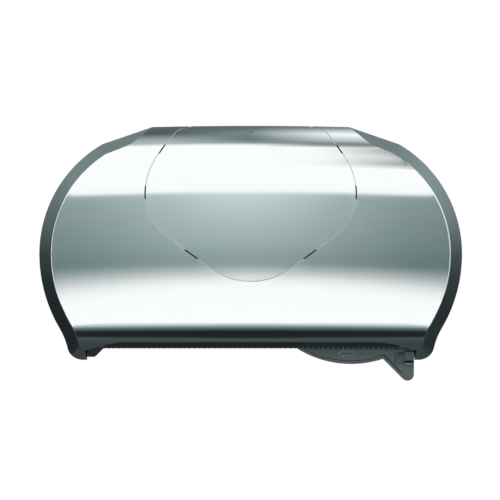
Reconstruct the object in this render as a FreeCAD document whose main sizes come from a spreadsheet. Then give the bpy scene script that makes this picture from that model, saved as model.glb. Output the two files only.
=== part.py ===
import FreeCAD, Part
import math
import os

import Sketcher

# Twin-roll toilet paper dispenser that hangs on a wall.
# Frame: origin on the wall plane midway between the two roll axles, +X to the viewer's right,
# +Y into the wall, +Z up. Depths run from the wall towards the viewer, so a depth is -Y.

# Driving dimensions in millimetres, angles in degrees.
SIZES = {
    # Cover outline against the wall
    "cover_width": 489.0,
    "widest_height": 9.5,
    "upper_radius": 147.0,
    "lower_radius": 169.5,
    "facet_reach": 15.5,
    "facet_angle": 19.0,
    "waist_radius": 80.0,
    "foot_set_in": 32.1,
    "foot_drop": 114.0,
    "foot_radius": 19.0,
    "foot_nose_radius": 8.0,
    # Cover face, seen from the side
    "cover_depth": 150.0,
    "draft_angle": 6.65,
    "crown_rise": 1.5,
    "top_slope": 10.8,
    "top_roll": 40.0,
    "face_radius": 400.0,
    "face_centre_height": 5.0,
    "bottom_roll": 60.0,
    "crown_radius": 4500.0,
    # Cover shell
    "cover_wall": 3.0,
    "cover_back_gap": 1.5,
    "crease_round": 1.5,
    "arch_rise": 23.0,
    "lip_bend_run": 51.0,
    "lip_bend": 130.0,
    "lip_width": 29.0,
    "lip_round": 2.0,
    "arch_set_in": 23.4,
    "rib_thick": 2.0,
    "rib_x": 62.0,
    "rib_height": 26.0,
    # Fine line on the face, with short slits
    "panel_half": 120.0,
    "panel_widest_drop": 80.0,
    "panel_side_radius": 60.0,
    "panel_shoulder_radius": 75.0,
    "panel_bottom_radius": 77.0,
    "panel_side_angle": 36.0,
    "panel_top_angle": 34.0,
    "panel_top_radius": 26.0,
    "panel_top_drop": 1.5,
    "groove_width": 1.0,
    "groove_depth": 0.6,
    "slit_width": 1.6,
    "slit_depth": 1.6,
    "upper_slit_rise": 46.0,
    "upper_slit_length": 10.0,
    "side_slit_drop": 6.0,
    "side_slit_length": 15.0,
    "lower_slit_drop": 74.0,
    "lower_slit_length": 10.5,
    # Cover hinge
    "hinge_depth": 14.0,
    "hinge_rise": 13.0,
    "hinge_pin_radius": 3.0,
    "hinge_fit": 0.05,
    "hinge_wall_gap": 2.0,
    "knuckle_radius": 7.0,
    "knuckle_gap": 1.5,
    "knuckle_length": 16.0,
    "pin_in_cheek": 11.5,
    "pin_in_knuckle": 12.0,
    "pin_end_gap": 1.0,
    # Lock in the cover's top
    "lock_depth": 45.0,
    "lock_boss_radius": 16.0,
    "lock_boss_height": 10.0,
    "lock_seat_drop": 17.0,
    "lock_barrel_radius": 9.0,
    "lock_fit": 0.05,
    "key_hole_radius": 2.2,
    "lock_barrel_length": 24.0,
    "lock_nut_thick": 4.0,
    "lock_nut_radius": 11.5,
    "plug_radius": 6.0,
    "plug_gap": 2.0,
    "plug_play": 0.3,
    "key_slot_width": 1.6,
    "key_slot_length": 3.6,
    "key_slot_depth": 4.0,
    "cam_thick": 3.0,
    "cam_width": 12.0,
    "cam_reach": 24.0,
    "cam_screw_radius": 2.0,
    "cam_screw_head_radius": 4.5,
    "cam_screw_head": 2.2,
    "cam_screw_length": 10.0,
    # Strike that holds the cam
    "strike_thick": 2.0,
    "strike_gap": 1.0,
    "strike_inner": 14.0,
    "strike_outer": 30.0,
    "strike_spare": 8.0,
    "strike_foot": 20.0,
    "strike_screw_x": 40.0,
    # Back plate
    "plate_thick": 4.0,
    "plate_gap": 5.0,
    "plate_rim": 14.0,
    "plate_top_gap": 12.0,
    "plate_lip_gap": 3.0,
    "plate_rib_thick": 3.0,
    "plate_rib_depth": 12.0,
    "plate_rib_x": 66.0,
    "wall_hole_radius": 3.2,
    "wall_hole_spacing_x": 300.0,
    "wall_hole_spacing_z": 144.0,
    # Roll axles and hubs
    "axle_set_in": 130.0,
    "roll_diameter": 228.6,
    "axle_radius": 5.0,
    "axle_head_radius": 9.0,
    "axle_head_depth": 4.0,
    "axle_head_gap": 0.5,
    "axle_rail_gap": 3.0,
    "boss_radius": 14.0,
    "boss_depth": 18.0,
    "washer_radius": 10.0,
    "washer_thick": 1.5,
    "hub_fit": 0.05,
    "hub_play": 0.3,
    "hub_flange_radius": 42.0,
    "hub_flange_thick": 2.5,
    "hub_radius": 26.0,
    "hub_wall": 3.0,
    "hub_sleeve_step": 7.0,
    "hub_core_radius": 9.0,
    "cap_grip": 2.7,
    "hub_web_depth": 54.0,
    "hub_rib_height": 2.0,
    "hub_rib_width": 3.0,
    "hub_rib_count": 6.0,
    "cap_radius": 11.0,
    "cap_thick": 4.0,
    # Cheeks beside the feet
    "cheek_gap": 2.0,
    "cheek_width": 19.0,
    "cheek_rise": 6.0,
    "cheek_corner": 10.4,
    "arm_thick": 7.0,
    "cheek_back_depth": 19.0,
    "cheek_back_height": 26.0,
    "cheek_front_thick": 2.5,
    "cheek_screw_radius": 2.0,
    "cheek_screw_head_radius": 3.8,
    "cheek_screw_head": 2.0,
    "cheek_screw_gap": 0.4,
    "cheek_screw_reach": 15.0,
    "cheek_screw_inset": 8.0,
    "cheek_screw_pitch": 12.0,
    # Track rail, tear bar and door
    "rail_set_back": 49.0,
    "rail_wall": 2.5,
    "rail_slot": 7.0,
    "rail_height": 19.5,
    "rail_below_lip": 6.0,
    "rail_end_gap": 0.5,
    "ledge_reach": 2.2,
    "ledge_thick": 2.0,
    "rail_screw_radius": 1.5,
    "rail_screw_head_radius": 2.8,
    "rail_screw_head": 1.8,
    "rail_screw_inset": 5.0,
    "rail_screw_pitch": 10.0,
    "tear_thick": 1.5,
    "tear_height": 14.5,
    "tear_below_rail": 1.5,
    "tooth_depth": 2.2,
    "tooth_pitch": 5.75,
    "rivet_radius": 1.5,
    "rivet_head_radius": 2.6,
    "rivet_head": 0.9,
    "rivet_inset": 3.5,
    "rivet_end_gap": 17.5,
    "door_clearance": 1.7,
    "door_play": 0.3,
    "door_thick": 3.0,
    "door_top_gap": 2.0,
    "door_neck_gap": 2.5,
    "door_neck_rise": 7.0,
    "tab_gap": 2.7,
    "tab_below_foot": 21.0,
    "tab_tip_radius": 7.5,
    "tab_angle": 45.0,
    "tab_curl_radius": 30.0,
    "tab_curl_width": 14.0,
    "bumper_length": 4.2,
    "bead_height": 3.0,
    "face_rise": 1.2,
    "face_inset": 3.4,
    "face_below_rail": 2.0,
    "runner_length": 12.0,
    "runner_height": 4.0,
    "runner_inset": 6.0,
    "latch_length": 21.8,
    "latch_below_rail": 4.8,
    "latch_height": 14.9,
    "latch_gap": 0.25,
    "latch_leaf": 1.2,
    "latch_nose_width": 11.3,
    "latch_nose_rise": 2.2,
    "latch_nose_round": 3.0,
    "bumper_height": 4.5,
    "arrow_offset": 15.5,
    "arrow_inset": 4.6,
    "arrow_head": 7.5,
    "arrow_half": 5.4,
    "arrow_length": 20.0,
    "arrow_shaft_half": 2.6,
    "arrow_line": 0.8,
    "arrow_rise": 0.4,
    # How far cutting shapes overshoot what they cut
    "cut_spare": 8.0,
}

doc = FreeCAD.newDocument("twin_roll_dispenser")
sheet = doc.addObject("Spreadsheet::Sheet", "Sizes")
for row, (name, value) in enumerate(SIZES.items(), start=1):
    sheet.set(f"A{row}", name)
    sheet.set(f"B{row}", str(value))
    sheet.setAlias(f"B{row}", name)
doc.recompute()


class Size:
    """A number worked out from the sheet, kept with the expression that binds it there."""

    def __init__(self, value, text):
        self.value = float(value)
        self.text = text

    def __add__(self, other):
        other = as_size(other)
        return Size(self.value + other.value, f"({self.text} + {other.text})")

    def __sub__(self, other):
        other = as_size(other)
        return Size(self.value - other.value, f"({self.text} - {other.text})")

    def __mul__(self, other):
        other = as_size(other)
        return Size(self.value * other.value, f"({self.text} * {other.text})")

    def __truediv__(self, other):
        other = as_size(other)
        return Size(self.value / other.value, f"({self.text} / {other.text})")

    def __neg__(self):
        return Size(-self.value, f"(0 - {self.text})")

    def __rmul__(self, other):
        return as_size(other) * self


def as_size(number):
    return number if isinstance(number, Size) else Size(number, repr(float(number)))


def root(size):
    return Size(math.sqrt(size.value), f"sqrt({size.text})")


def sine(angle):
    return Size(math.sin(math.radians(angle.value)), f"sin({angle.text})")


def cosine(angle):
    return Size(math.cos(math.radians(angle.value)), f"cos({angle.text})")


def tangent(angle):
    return Size(math.tan(math.radians(angle.value)), f"tan({angle.text})")


class SheetSizes:
    """Reads a driving dimension by its name, as in dim.cover_width, and holds what follows from it."""

    def __getattr__(self, name):
        return Size(sheet.get(name), f"Sizes.{name}")


dim = SheetSizes()
ZERO = as_size(0.0)

# Sizes that follow from the driving ones: outline and face
dim.half_width = dim.cover_width / 2
dim.top_height = dim.widest_height + dim.upper_radius + dim.crown_rise
dim.facet_corner_x = dim.half_width - dim.upper_radius + dim.facet_reach
dim.facet_corner_height = dim.top_height - dim.facet_corner_x * dim.facet_corner_x / (2 * dim.crown_radius)
dim.foot_reach = dim.half_width - dim.foot_set_in
dim.arch_half = dim.foot_reach - dim.arch_set_in
dim.lip_flat = dim.arch_half - dim.lip_bend_run
dim.lip_drop = dim.foot_drop - dim.arch_rise
dim.lip_depth = dim.cover_depth - dim.lip_width
dim.rib_depth = dim.cover_depth - dim.rib_height
dim.panel_widest = dim.top_height - dim.panel_widest_drop
# Hinge, lock and strike
dim.hinge_drop = dim.foot_drop - dim.hinge_rise
dim.lock_seat = dim.top_height - dim.lock_seat_drop
dim.lock_boss_low = dim.lock_seat - dim.lock_boss_height
dim.lock_body_low = dim.lock_seat - dim.lock_barrel_length
dim.cam_top = dim.lock_body_low - dim.plug_gap
dim.cam_low = dim.cam_top - dim.cam_thick
dim.strike_high = dim.cam_top + dim.strike_spare
dim.strike_low = dim.cam_low - dim.strike_spare
# Plate, cheeks and rail
dim.plate_top = dim.top_height - dim.plate_top_gap
dim.plate_drop = dim.lip_drop - dim.plate_lip_gap
dim.cheek_outer = dim.arch_half - dim.cheek_gap
dim.cheek_inner = dim.cheek_outer - dim.cheek_width
dim.cheek_drop = dim.foot_drop - dim.cheek_rise
dim.arm_top = dim.cheek_drop - dim.arm_thick
dim.cheek_back_top = dim.plate_drop - dim.cheek_back_height
dim.cheek_screw_lower = dim.plate_drop - dim.cheek_screw_inset
dim.cheek_screw_upper = dim.cheek_screw_lower - dim.cheek_screw_pitch
dim.rail_back = dim.cover_depth - dim.rail_set_back
dim.rail_half = dim.cheek_inner - dim.rail_end_gap
dim.rail_low = dim.lip_drop + dim.rail_below_lip
dim.rail_top = dim.rail_low - dim.rail_height
dim.rail_screw_lower = dim.rail_low - dim.rail_screw_inset
dim.rail_screw_upper = dim.rail_screw_lower - dim.rail_screw_pitch
dim.tear_tip = dim.rail_low + dim.tear_below_rail
dim.tear_top = dim.tear_tip - dim.tear_height
dim.rivet_drop = dim.tear_top + dim.rivet_inset
dim.rivet_pitch = (dim.rail_half - dim.rivet_end_gap) / 2
# Axles and hubs
dim.axle_x = dim.half_width - dim.axle_set_in
dim.axle_length = dim.rail_back - dim.axle_rail_gap
dim.hub_core_front = dim.axle_length - dim.cap_grip - dim.hub_play
dim.hub_front = dim.hub_core_front - dim.hub_sleeve_step
# Door and latch
dim.door_top = dim.rail_top + dim.rail_wall + dim.door_top_gap
dim.door_neck_x = dim.rail_half - dim.door_neck_gap
dim.door_neck_drop = dim.rail_low - dim.door_neck_rise
dim.tab_right = dim.arch_half - dim.tab_gap
dim.tab_drop = dim.foot_drop + dim.tab_below_foot
dim.bead_end = dim.rail_half - dim.bumper_length - dim.door_play
dim.face_top = dim.rail_low + dim.face_below_rail
dim.runner_drop = dim.door_top + dim.runner_inset
dim.latch_left = dim.tab_right - dim.latch_length
dim.latch_nose_x = dim.tab_right - dim.latch_nose_width
dim.latch_top = dim.rail_low + dim.latch_below_rail
dim.latch_drop = dim.latch_top + dim.latch_height
dim.arrow_x = dim.axle_x - dim.arrow_offset
dim.arrow_drop = dim.face_top + dim.arrow_inset
# Places closer than this count as the same
TOUCH = 0.01
# Faces that fold by more than this many degrees meet in a crease
CREASE = 45


def bind(item, place, size):
    """Sets a property of an object to a size, through the sheet."""
    item.setExpression(place, as_size(size).text)


class Drawing:
    """A sketch on one of its body's own planes, with every size bound to the sheet."""

    def __init__(self, body, name, plane, offset=ZERO):
        self.sketch = body.newObject("Sketcher::SketchObject", name)
        support = [item for item in body.Origin.OriginFeatures if item.Role == plane]
        self.sketch.AttachmentSupport = [(support[0], "")]
        self.sketch.MapMode = "FlatFace"
        bind(self.sketch, "AttachmentOffset.Base.z", offset)

    def add(self, shape):
        return self.sketch.addGeometry(shape)

    def rule(self, *terms):
        return self.sketch.addConstraint(Sketcher.Constraint(*terms))

    def size_rule(self, kind, *terms):
        size = as_size(terms[-1])
        index = self.rule(kind, *terms[:-1], size.value)
        self.sketch.setExpression(f"Constraints[{index}]", size.text)

    def place(self, geometry, point, x=None, y=None):
        if x is not None:
            self.size_rule("DistanceX", geometry, point, x)
        if y is not None:
            self.size_rule("DistanceY", geometry, point, y)

    def lean(self, geometry, angle):
        """Turns a line to an angle, which the sketch takes in radians and the sheet in degrees."""
        index = self.rule("Angle", geometry, math.radians(angle.value))
        self.sketch.setExpression(f"Constraints[{index}]", angle.text)

    def line(self, start, end):
        return self.add(Part.LineSegment(vector(*start), vector(*end)))

    def arc(self, centre, radius, first, last):
        circle = Part.Circle(vector(*centre), FreeCAD.Vector(0, 0, 1), radius)
        return self.add(Part.ArcOfCircle(circle, math.radians(first), math.radians(last)))

    def circle(self, x, y, radius):
        x, y, radius = as_size(x), as_size(y), as_size(radius)
        ring = Part.Circle(vector(x, y), FreeCAD.Vector(0, 0, 1), radius.value)
        index = self.add(ring)
        self.place(index, 3, x, y)
        self.size_rule("Radius", index, radius)

    def loop(self, steps):
        """Closes a loop: each step is (x, y), or (x, y, centre_x, centre_y, turn) for an arc to x, y."""
        steps = [tuple(item if isinstance(item, str) else as_size(item) for item in step) for step in steps]
        home = steps[0]
        here = home
        first = None
        last = None
        for step in steps[1:] + [home]:
            if len(step) == 2:
                index = self.line(here, step)
                start, end = 1, 2
            else:
                index, start, end = self.arc_step(here, step)
            if last is None:
                first = (index, start)
                self.place(index, start, *here)
            else:
                self.rule("Coincident", *last, index, start)
            if step is not home:
                self.end_step(index, end, step)
            last = (index, end)
            here = step[:2]
        self.rule("Coincident", *last, *first)

    def arc_step(self, here, step):
        centre = (step[2].value, step[3].value)
        begin = math.degrees(math.atan2(here[1].value - centre[1], here[0].value - centre[0]))
        finish = math.degrees(math.atan2(step[1].value - centre[1], step[0].value - centre[0]))
        radius = math.dist(centre, (here[0].value, here[1].value))
        if step[4] == "left":
            index = self.arc(centre, radius, begin, finish)
            ends = (1, 2)
        else:
            index = self.arc(centre, radius, finish, begin)
            ends = (2, 1)
        self.place(index, 3, step[2], step[3])
        return index, *ends

    def end_step(self, index, end, step):
        if len(step) == 2:
            self.place(index, end, *step)
        elif abs(step[0].value - step[2].value) < abs(step[1].value - step[3].value):
            self.place(index, end, x=step[0])
        else:
            self.place(index, end, y=step[1])

    def box(self, left, right, bottom, top):
        self.loop([(left, bottom), (right, bottom), (right, top), (left, top)])


def vector(x, y):
    return FreeCAD.Vector(as_size(x).value, as_size(y).value, 0)


def new_body(label):
    body = doc.addObject("PartDesign::Body", label)
    body.Label = label
    return body


def pad(body, drawing, length):
    feature = body.newObject("PartDesign::Pad", f"{drawing.sketch.Name}_pad")
    feature.Profile = drawing.sketch
    bind(feature, "Length", length)
    return feature


def pocket(body, drawing, length):
    """Cuts the way that a pad of the same sketch grows."""
    feature = body.newObject("PartDesign::Pocket", f"{drawing.sketch.Name}_pocket")
    feature.Profile = drawing.sketch
    feature.Reversed = True
    bind(feature, "Length", length)
    return feature


# Cover form


def cover_outline(drawing, inset, foot_radius):
    """The cover seen from the front, drawn in by an inset: facets, side arcs, waists and feet."""
    ridge_x = dim.facet_corner_x / 2
    facet_rise = (dim.facet_corner_x - ridge_x) * tangent(dim.facet_angle)
    ridge_z = dim.facet_corner_height + facet_rise - inset / cosine(dim.facet_angle)
    upper_x = dim.half_width - dim.upper_radius
    lower_x = dim.half_width - dim.lower_radius
    upper = dim.upper_radius - inset
    lower = dim.lower_radius - inset
    waist = dim.waist_radius + inset
    foot_x = dim.foot_reach - inset - foot_radius
    foot_z = foot_radius + inset - dim.foot_drop

    facet_end = facet_meets_arc(ridge_x, ridge_z, upper_x, upper)
    waist_x, waist_z = waist_centre(lower_x, lower + waist, foot_x, foot_z, foot_radius + waist)
    to_side = bearing(waist_x, waist_z, lower_x.value, dim.widest_height.value)
    to_foot = bearing(waist_x, waist_z, foot_x.value, foot_z.value)
    facet_turn = bearing(upper_x.value, dim.widest_height.value, *facet_end)

    sides = []
    for side in (1, -1):
        def turned(centre_x, centre_z, radius, first, last):
            if side < 0:
                first, last = 180 - last, 180 - first
            return drawing.arc((side * centre_x, centre_z), radius, first, last)

        facet = drawing.line((side * ridge_x, ridge_z), (side * facet_end[0], facet_end[1]))
        upper_arc = turned(upper_x.value, dim.widest_height.value, upper.value, 0, facet_turn)
        lower_arc = turned(lower_x.value, dim.widest_height.value, lower.value, to_side - 180, 0)
        waist_arc = turned(waist_x, waist_z, waist.value, to_side, to_foot)
        foot_arc = turned(foot_x.value, foot_z.value, foot_radius.value, -90, to_foot - 180)
        low, high = (1, 2) if side > 0 else (2, 1)
        drawing.rule("Coincident", facet, 2, upper_arc, high)
        drawing.rule("Coincident", upper_arc, low, lower_arc, high)
        drawing.rule("Tangent", lower_arc, low, waist_arc, low)
        drawing.rule("Tangent", waist_arc, high, foot_arc, high)
        drawing.place(facet, 1, side * ridge_x, ridge_z)
        drawing.lean(facet, -dim.facet_angle if side > 0 else dim.facet_angle - 180)
        drawing.place(upper_arc, 3, side * upper_x, dim.widest_height)
        drawing.size_rule("Radius", upper_arc, upper)
        drawing.place(upper_arc, low, y=dim.widest_height)
        drawing.place(lower_arc, 3, side * lower_x, dim.widest_height)
        drawing.size_rule("Radius", waist_arc, waist)
        drawing.place(foot_arc, 3, side * foot_x, foot_z)
        drawing.size_rule("Radius", foot_arc, foot_radius)
        drawing.place(foot_arc, low, x=side * foot_x)
        sides.append((facet, foot_arc, low))
    ridge = drawing.line((-ridge_x, ridge_z), (ridge_x, ridge_z))
    drawing.rule("Coincident", ridge, 1, sides[1][0], 1)
    drawing.rule("Coincident", ridge, 2, sides[0][0], 1)
    sole = drawing.line((foot_x, foot_z - foot_radius), (-foot_x, foot_z - foot_radius))
    drawing.rule("Coincident", sole, 1, sides[0][1], sides[0][2])
    drawing.rule("Coincident", sole, 2, sides[1][1], sides[1][2])


def facet_meets_arc(ridge_x, ridge_z, upper_x, upper):
    """First guess for the corner between the slanted facet and the upper side arc."""
    lean = math.radians(dim.facet_angle.value)
    along = (math.cos(lean), -math.sin(lean))
    gap = (ridge_x.value - upper_x.value, ridge_z.value - dim.widest_height.value)
    half = gap[0] * along[0] + gap[1] * along[1]
    reach = math.sqrt(half ** 2 - gap[0] ** 2 - gap[1] ** 2 + upper.value ** 2) - half
    return ridge_x.value + reach * along[0], ridge_z.value + reach * along[1]


def waist_centre(lower_x, lower_reach, foot_x, foot_z, foot_reach):
    """First guess for the centre of the hollow arc between a side and a foot."""
    across = foot_x.value - lower_x.value
    down = foot_z.value - dim.widest_height.value
    span = math.hypot(across, down)
    along = (lower_reach.value ** 2 - foot_reach.value ** 2 + span ** 2) / (2 * span)
    aside = math.sqrt(lower_reach.value ** 2 - along ** 2)
    x = lower_x.value + (along * across - aside * down) / span
    z = dim.widest_height.value + (along * down + aside * across) / span
    return x, z


def bearing(from_x, from_z, to_x, to_z):
    return math.degrees(math.atan2(to_z - from_z, to_x - from_x)) % 360


def side_profile(drawing, inset):
    """What is cut off outside the cover's side view: sloping top, rolled edges and bowed face."""
    face_y = dim.face_radius - dim.cover_depth
    face = dim.face_radius - inset
    top = dim.top_roll - inset
    bottom = dim.bottom_roll - inset
    back_z = dim.top_height + dim.cut_spare * tangent(dim.top_slope) - inset / cosine(dim.top_slope)
    sole_z = inset - dim.foot_drop
    low_z = -(dim.foot_drop + dim.cut_spare)
    high_z = back_z + dim.facet_corner_x / 2
    front_y = -(dim.cover_depth + dim.cut_spare)

    slope = math.radians(dim.top_slope.value)
    level = back_z.value - dim.cut_spare.value * math.tan(slope)
    rise = level + face_y.value * math.tan(slope) - dim.face_centre_height.value - top.value / math.cos(slope)
    tilt = math.asin(rise * math.cos(slope) / (face.value - top.value)) - slope
    top_y = face_y.value - (face.value - top.value) * math.cos(tilt)
    top_z = dim.face_centre_height.value + (face.value - top.value) * math.sin(tilt)
    bottom_z = sole_z.value + bottom.value
    fall = dim.face_centre_height.value - bottom_z
    bottom_y = face_y.value - math.sqrt((face.value - bottom.value) ** 2 - fall ** 2)
    dip = math.degrees(math.asin(fall / (face.value - bottom.value)))
    tilt = math.degrees(tilt)
    roll_start = (top_y - top.value * math.sin(slope), top_z + top.value * math.cos(slope))

    slope_line = drawing.line((dim.cut_spare, back_z), roll_start)
    top_arc = drawing.arc((top_y, top_z), top.value, 90 + dim.top_slope.value, 180 - tilt)
    face_arc = drawing.arc((face_y, dim.face_centre_height), face.value, 180 - tilt, 180 + dip)
    bottom_arc = drawing.arc((bottom_y, bottom_z), bottom.value, 180 + dip, 270)
    drawing.place(slope_line, 1, dim.cut_spare, back_z)
    drawing.lean(slope_line, dim.top_slope - 180)
    drawing.rule("Tangent", slope_line, 2, top_arc, 1)
    drawing.size_rule("Radius", top_arc, top)
    drawing.rule("Tangent", top_arc, 2, face_arc, 1)
    drawing.place(face_arc, 3, face_y, dim.face_centre_height)
    drawing.size_rule("Radius", face_arc, face)
    drawing.rule("Tangent", face_arc, 2, bottom_arc, 1)
    drawing.size_rule("Radius", bottom_arc, bottom)
    drawing.rule("Vertical", bottom_arc, 3, bottom_arc, 2)
    drawing.place(bottom_arc, 2, y=sole_z)

    down = drawing.line((bottom_y, sole_z), (bottom_y, low_z))
    drawing.rule("Coincident", bottom_arc, 2, down, 1)
    drawing.rule("Vertical", down)
    drawing.place(down, 2, y=low_z)
    corners = [(front_y, low_z), (front_y, high_z), (dim.cut_spare, high_z)]
    last = down
    here = (bottom_y, low_z)
    for corner in corners:
        edge = drawing.line(here, corner)
        drawing.rule("Coincident", last, 2, edge, 1)
        drawing.place(edge, 2, *corner)
        last = edge
        here = corner
    edge = drawing.line(here, (dim.cut_spare, back_z))
    drawing.rule("Coincident", last, 2, edge, 1)
    drawing.rule("Coincident", edge, 2, slope_line, 1)


def lip_arch(drawing, inset):
    """The opening under the cover: a level lip that bends down to the feet."""
    low_z = -(dim.foot_drop + dim.cut_spare)
    half = dim.arch_half + inset
    lip_z = inset - dim.lip_drop
    bend = dim.lip_bend + inset
    centre_z = -(dim.lip_drop + dim.lip_bend)
    end_z = centre_z + root(bend * bend - (half - dim.lip_flat) * (half - dim.lip_flat))
    drawing.loop([
        (-half, low_z),
        (-half, end_z),
        (-dim.lip_flat, lip_z, -dim.lip_flat, centre_z, "right"),
        (dim.lip_flat, lip_z),
        (half, end_z, dim.lip_flat, centre_z, "right"),
        (half, low_z),
    ])


def cover_form(label, inset, crease=None, lip=None):
    """A solid of the cover's whole form, drawn in by an inset, with its edges rounded if asked."""
    body = new_body(label)
    wall = Drawing(body, f"{label}_wall_outline", "XZ_Plane", dim.cover_back_gap)
    cover_outline(wall, inset, dim.foot_radius - inset)
    front_depth = dim.cover_depth + dim.cut_spare
    front_inset = inset + (front_depth - dim.cover_back_gap) * tangent(dim.draft_angle)
    front = Drawing(body, f"{label}_front_outline", "XZ_Plane", front_depth)
    cover_outline(front, front_inset, dim.foot_nose_radius - inset)
    loft = body.newObject("PartDesign::AdditiveLoft", f"{label}_loft")
    loft.Profile = wall.sketch
    loft.Sections = [front.sketch]
    loft.Ruled = True

    profile = Drawing(body, f"{label}_profile", "YZ_Plane")
    side_profile(profile, inset)
    groove = revolve(body, profile, (ZERO, dim.top_height - dim.crown_radius), along="x", cut=True)
    groove.Midplane = True
    bind(groove, "Angle", 2 * arc_tangent(dim.cover_width / dim.crown_radius))
    doc.recompute()
    if crease is not None:
        round_edges(body, f"{label}_crease", crease, sharp_front_edges(body))
    arch = Drawing(body, f"{label}_arch", "XZ_Plane")
    lip_arch(arch, inset)
    pocket(body, arch, dim.cover_depth + dim.cut_spare)
    doc.recompute()
    if lip is not None:
        round_edges(body, f"{label}_lip", lip, lip_edges(body))
    return body


def arc_tangent(ratio):
    return Size(math.degrees(math.atan(ratio.value)), f"atan({ratio.text})")


def revolve(body, drawing, start, along, cut=False):
    """Turns a sketch about a construction line that starts at a point and runs along x or y."""
    x, y = as_size(start[0]), as_size(start[1])
    end = (x + dim.cut_spare, y) if along == "x" else (x, y + dim.cut_spare)
    line = drawing.line((x, y), end)
    drawing.sketch.setConstruction(line, True)
    drawing.place(line, 1, x, y)
    drawing.place(line, 2, *end)
    kind = "PartDesign::Groove" if cut else "PartDesign::Revolution"
    feature = body.newObject(kind, f"{drawing.sketch.Name}_turned")
    feature.Profile = drawing.sketch
    feature.ReferenceAxis = (drawing.sketch, ["Axis0"])
    feature.Angle = 360
    return feature


def round_edges(body, name, radius, edges):
    base = body.Tip
    fillet = body.newObject("PartDesign::Fillet", name)
    fillet.Base = (base, edges)
    bind(fillet, "Radius", radius)
    doc.recompute()


def fold_angle(shape, edge):
    """The angle in degrees by which two faces fold at their shared edge."""
    faces = shape.ancestorsOfType(edge, Part.Face)
    if len(faces) < 2:
        return 0.0
    middle = edge.valueAt((edge.FirstParameter + edge.LastParameter) / 2)
    normals = [face.normalAt(*face.Surface.parameter(middle)) for face in faces[:2]]
    return math.degrees(normals[0].getAngle(normals[1]))


def sharp_front_edges(body):
    """The crease between the cover's face and its sides, all round."""
    names = []
    shape = body.Tip.Shape
    for number, edge in enumerate(shape.Edges, start=1):
        at_wall = edge.BoundBox.YMin > -dim.cover_back_gap.value - TOUCH
        if not at_wall and fold_angle(shape, edge) > CREASE:
            names.append(f"Edge{number}")
    return names


def lip_edges(body):
    """The front edge of the arch between its two feet."""
    names = []
    shape = body.Tip.Shape
    for number, edge in enumerate(shape.Edges, start=1):
        box = edge.BoundBox
        across = box.XLength > dim.lip_round.value and -box.YMin > dim.lip_depth.value
        below_lip = box.ZMax < dim.lip_round.value - dim.lip_drop.value
        if across and below_lip and fold_angle(shape, edge) > CREASE:
            names.append(f"Edge{number}")
    return names


def place_body(body, x=ZERO, depth=ZERO, z=ZERO):
    for axis, size in (("x", x), ("y", -as_size(depth)), ("z", z)):
        bind(body, f"Placement.Base.{axis}", size)


def boxed(body, name, plane, offset, sides, length):
    """Pads a rectangle, given as left, right, bottom and top, along its plane's normal."""
    drawing = Drawing(body, name, plane, offset)
    drawing.box(*sides)
    return pad(body, drawing, length)


def boxed_cut(body, name, plane, offset, sides, length):
    drawing = Drawing(body, name, plane, offset)
    drawing.box(*sides)
    return pocket(body, drawing, length)


def rods(body, name, plane, offset, centres, radius, length, cut=False):
    """Pads or cuts a set of equal circles along their plane's normal."""
    drawing = Drawing(body, name, plane, offset)
    for x, y in centres:
        drawing.circle(x, y, radius)
    return pocket(body, drawing, length) if cut else pad(body, drawing, length)


def subtract(body, name, tool):
    cut = body.newObject("PartDesign::Boolean", name)
    cut.Type = "Cut"
    cut.setObjects([tool])
    return cut


SIDES = {"left": -1, "right": 1}
CENTRE = [(ZERO, ZERO)]


# Front cover


def panel_loop(drawing, grow):
    """The shield-shaped line on the cover's face, moved outwards by a distance."""
    half = dim.panel_half + grow
    side = dim.panel_side_radius + grow
    shoulder = dim.panel_shoulder_radius + grow
    bottom = dim.panel_bottom_radius + grow
    side_x = dim.panel_half - dim.panel_side_radius
    shoulder_x = dim.panel_half - dim.panel_shoulder_radius
    across = sine(dim.panel_side_angle)
    up = cosine(dim.panel_side_angle)
    reach = side_x * across - dim.panel_widest * up
    bottom_z = (dim.panel_bottom_radius - dim.panel_side_radius - reach) / up
    low = (side_x + side * across, dim.panel_widest - side * up)
    floor = (bottom * across, bottom_z - bottom * up)
    high_x = shoulder_x + shoulder * cosine(dim.panel_top_angle)
    high_z = dim.panel_widest + shoulder * sine(dim.panel_top_angle)
    bend = dim.panel_top_radius + grow
    bend_z = dim.top_height - dim.panel_top_drop - dim.panel_top_radius
    bend_end_z = bend_z + bend * sine(dim.panel_top_angle)
    bend_end_x = high_x - (bend_end_z - high_z) * tangent(dim.panel_top_angle)
    bend_x = bend_end_x - bend * cosine(dim.panel_top_angle)
    end_z = dim.top_height + dim.cut_spare
    drawing.loop([
        (-bend_x, end_z),
        (bend_x, end_z),
        (bend_x, bend_z + bend),
        (bend_end_x, bend_end_z, bend_x, bend_z, "right"),
        (high_x, high_z),
        (half, dim.panel_widest, shoulder_x, dim.panel_widest, "right"),
        (*low, side_x, dim.panel_widest, "right"),
        floor,
        (-floor[0], floor[1], ZERO, bottom_z, "right"),
        (-low[0], low[1]),
        (-half, dim.panel_widest, -side_x, dim.panel_widest, "right"),
        (-high_x, high_z, -shoulder_x, dim.panel_widest, "right"),
        (-bend_end_x, bend_end_z),
        (-bend_x, bend_z + bend, -bend_x, bend_z, "right"),
    ])


def panel_ring(label, width):
    """A thin wall through the cover's whole depth that stands on the shield-shaped line."""
    body = new_body(label)
    depth = dim.cover_depth + dim.cut_spare
    outside = Drawing(body, f"{label}_outside", "XZ_Plane")
    panel_loop(outside, width / 2)
    pad(body, outside, depth)
    inside = Drawing(body, f"{label}_inside", "XZ_Plane")
    panel_loop(inside, width / -2)
    pocket(body, inside, depth)
    return body


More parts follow.
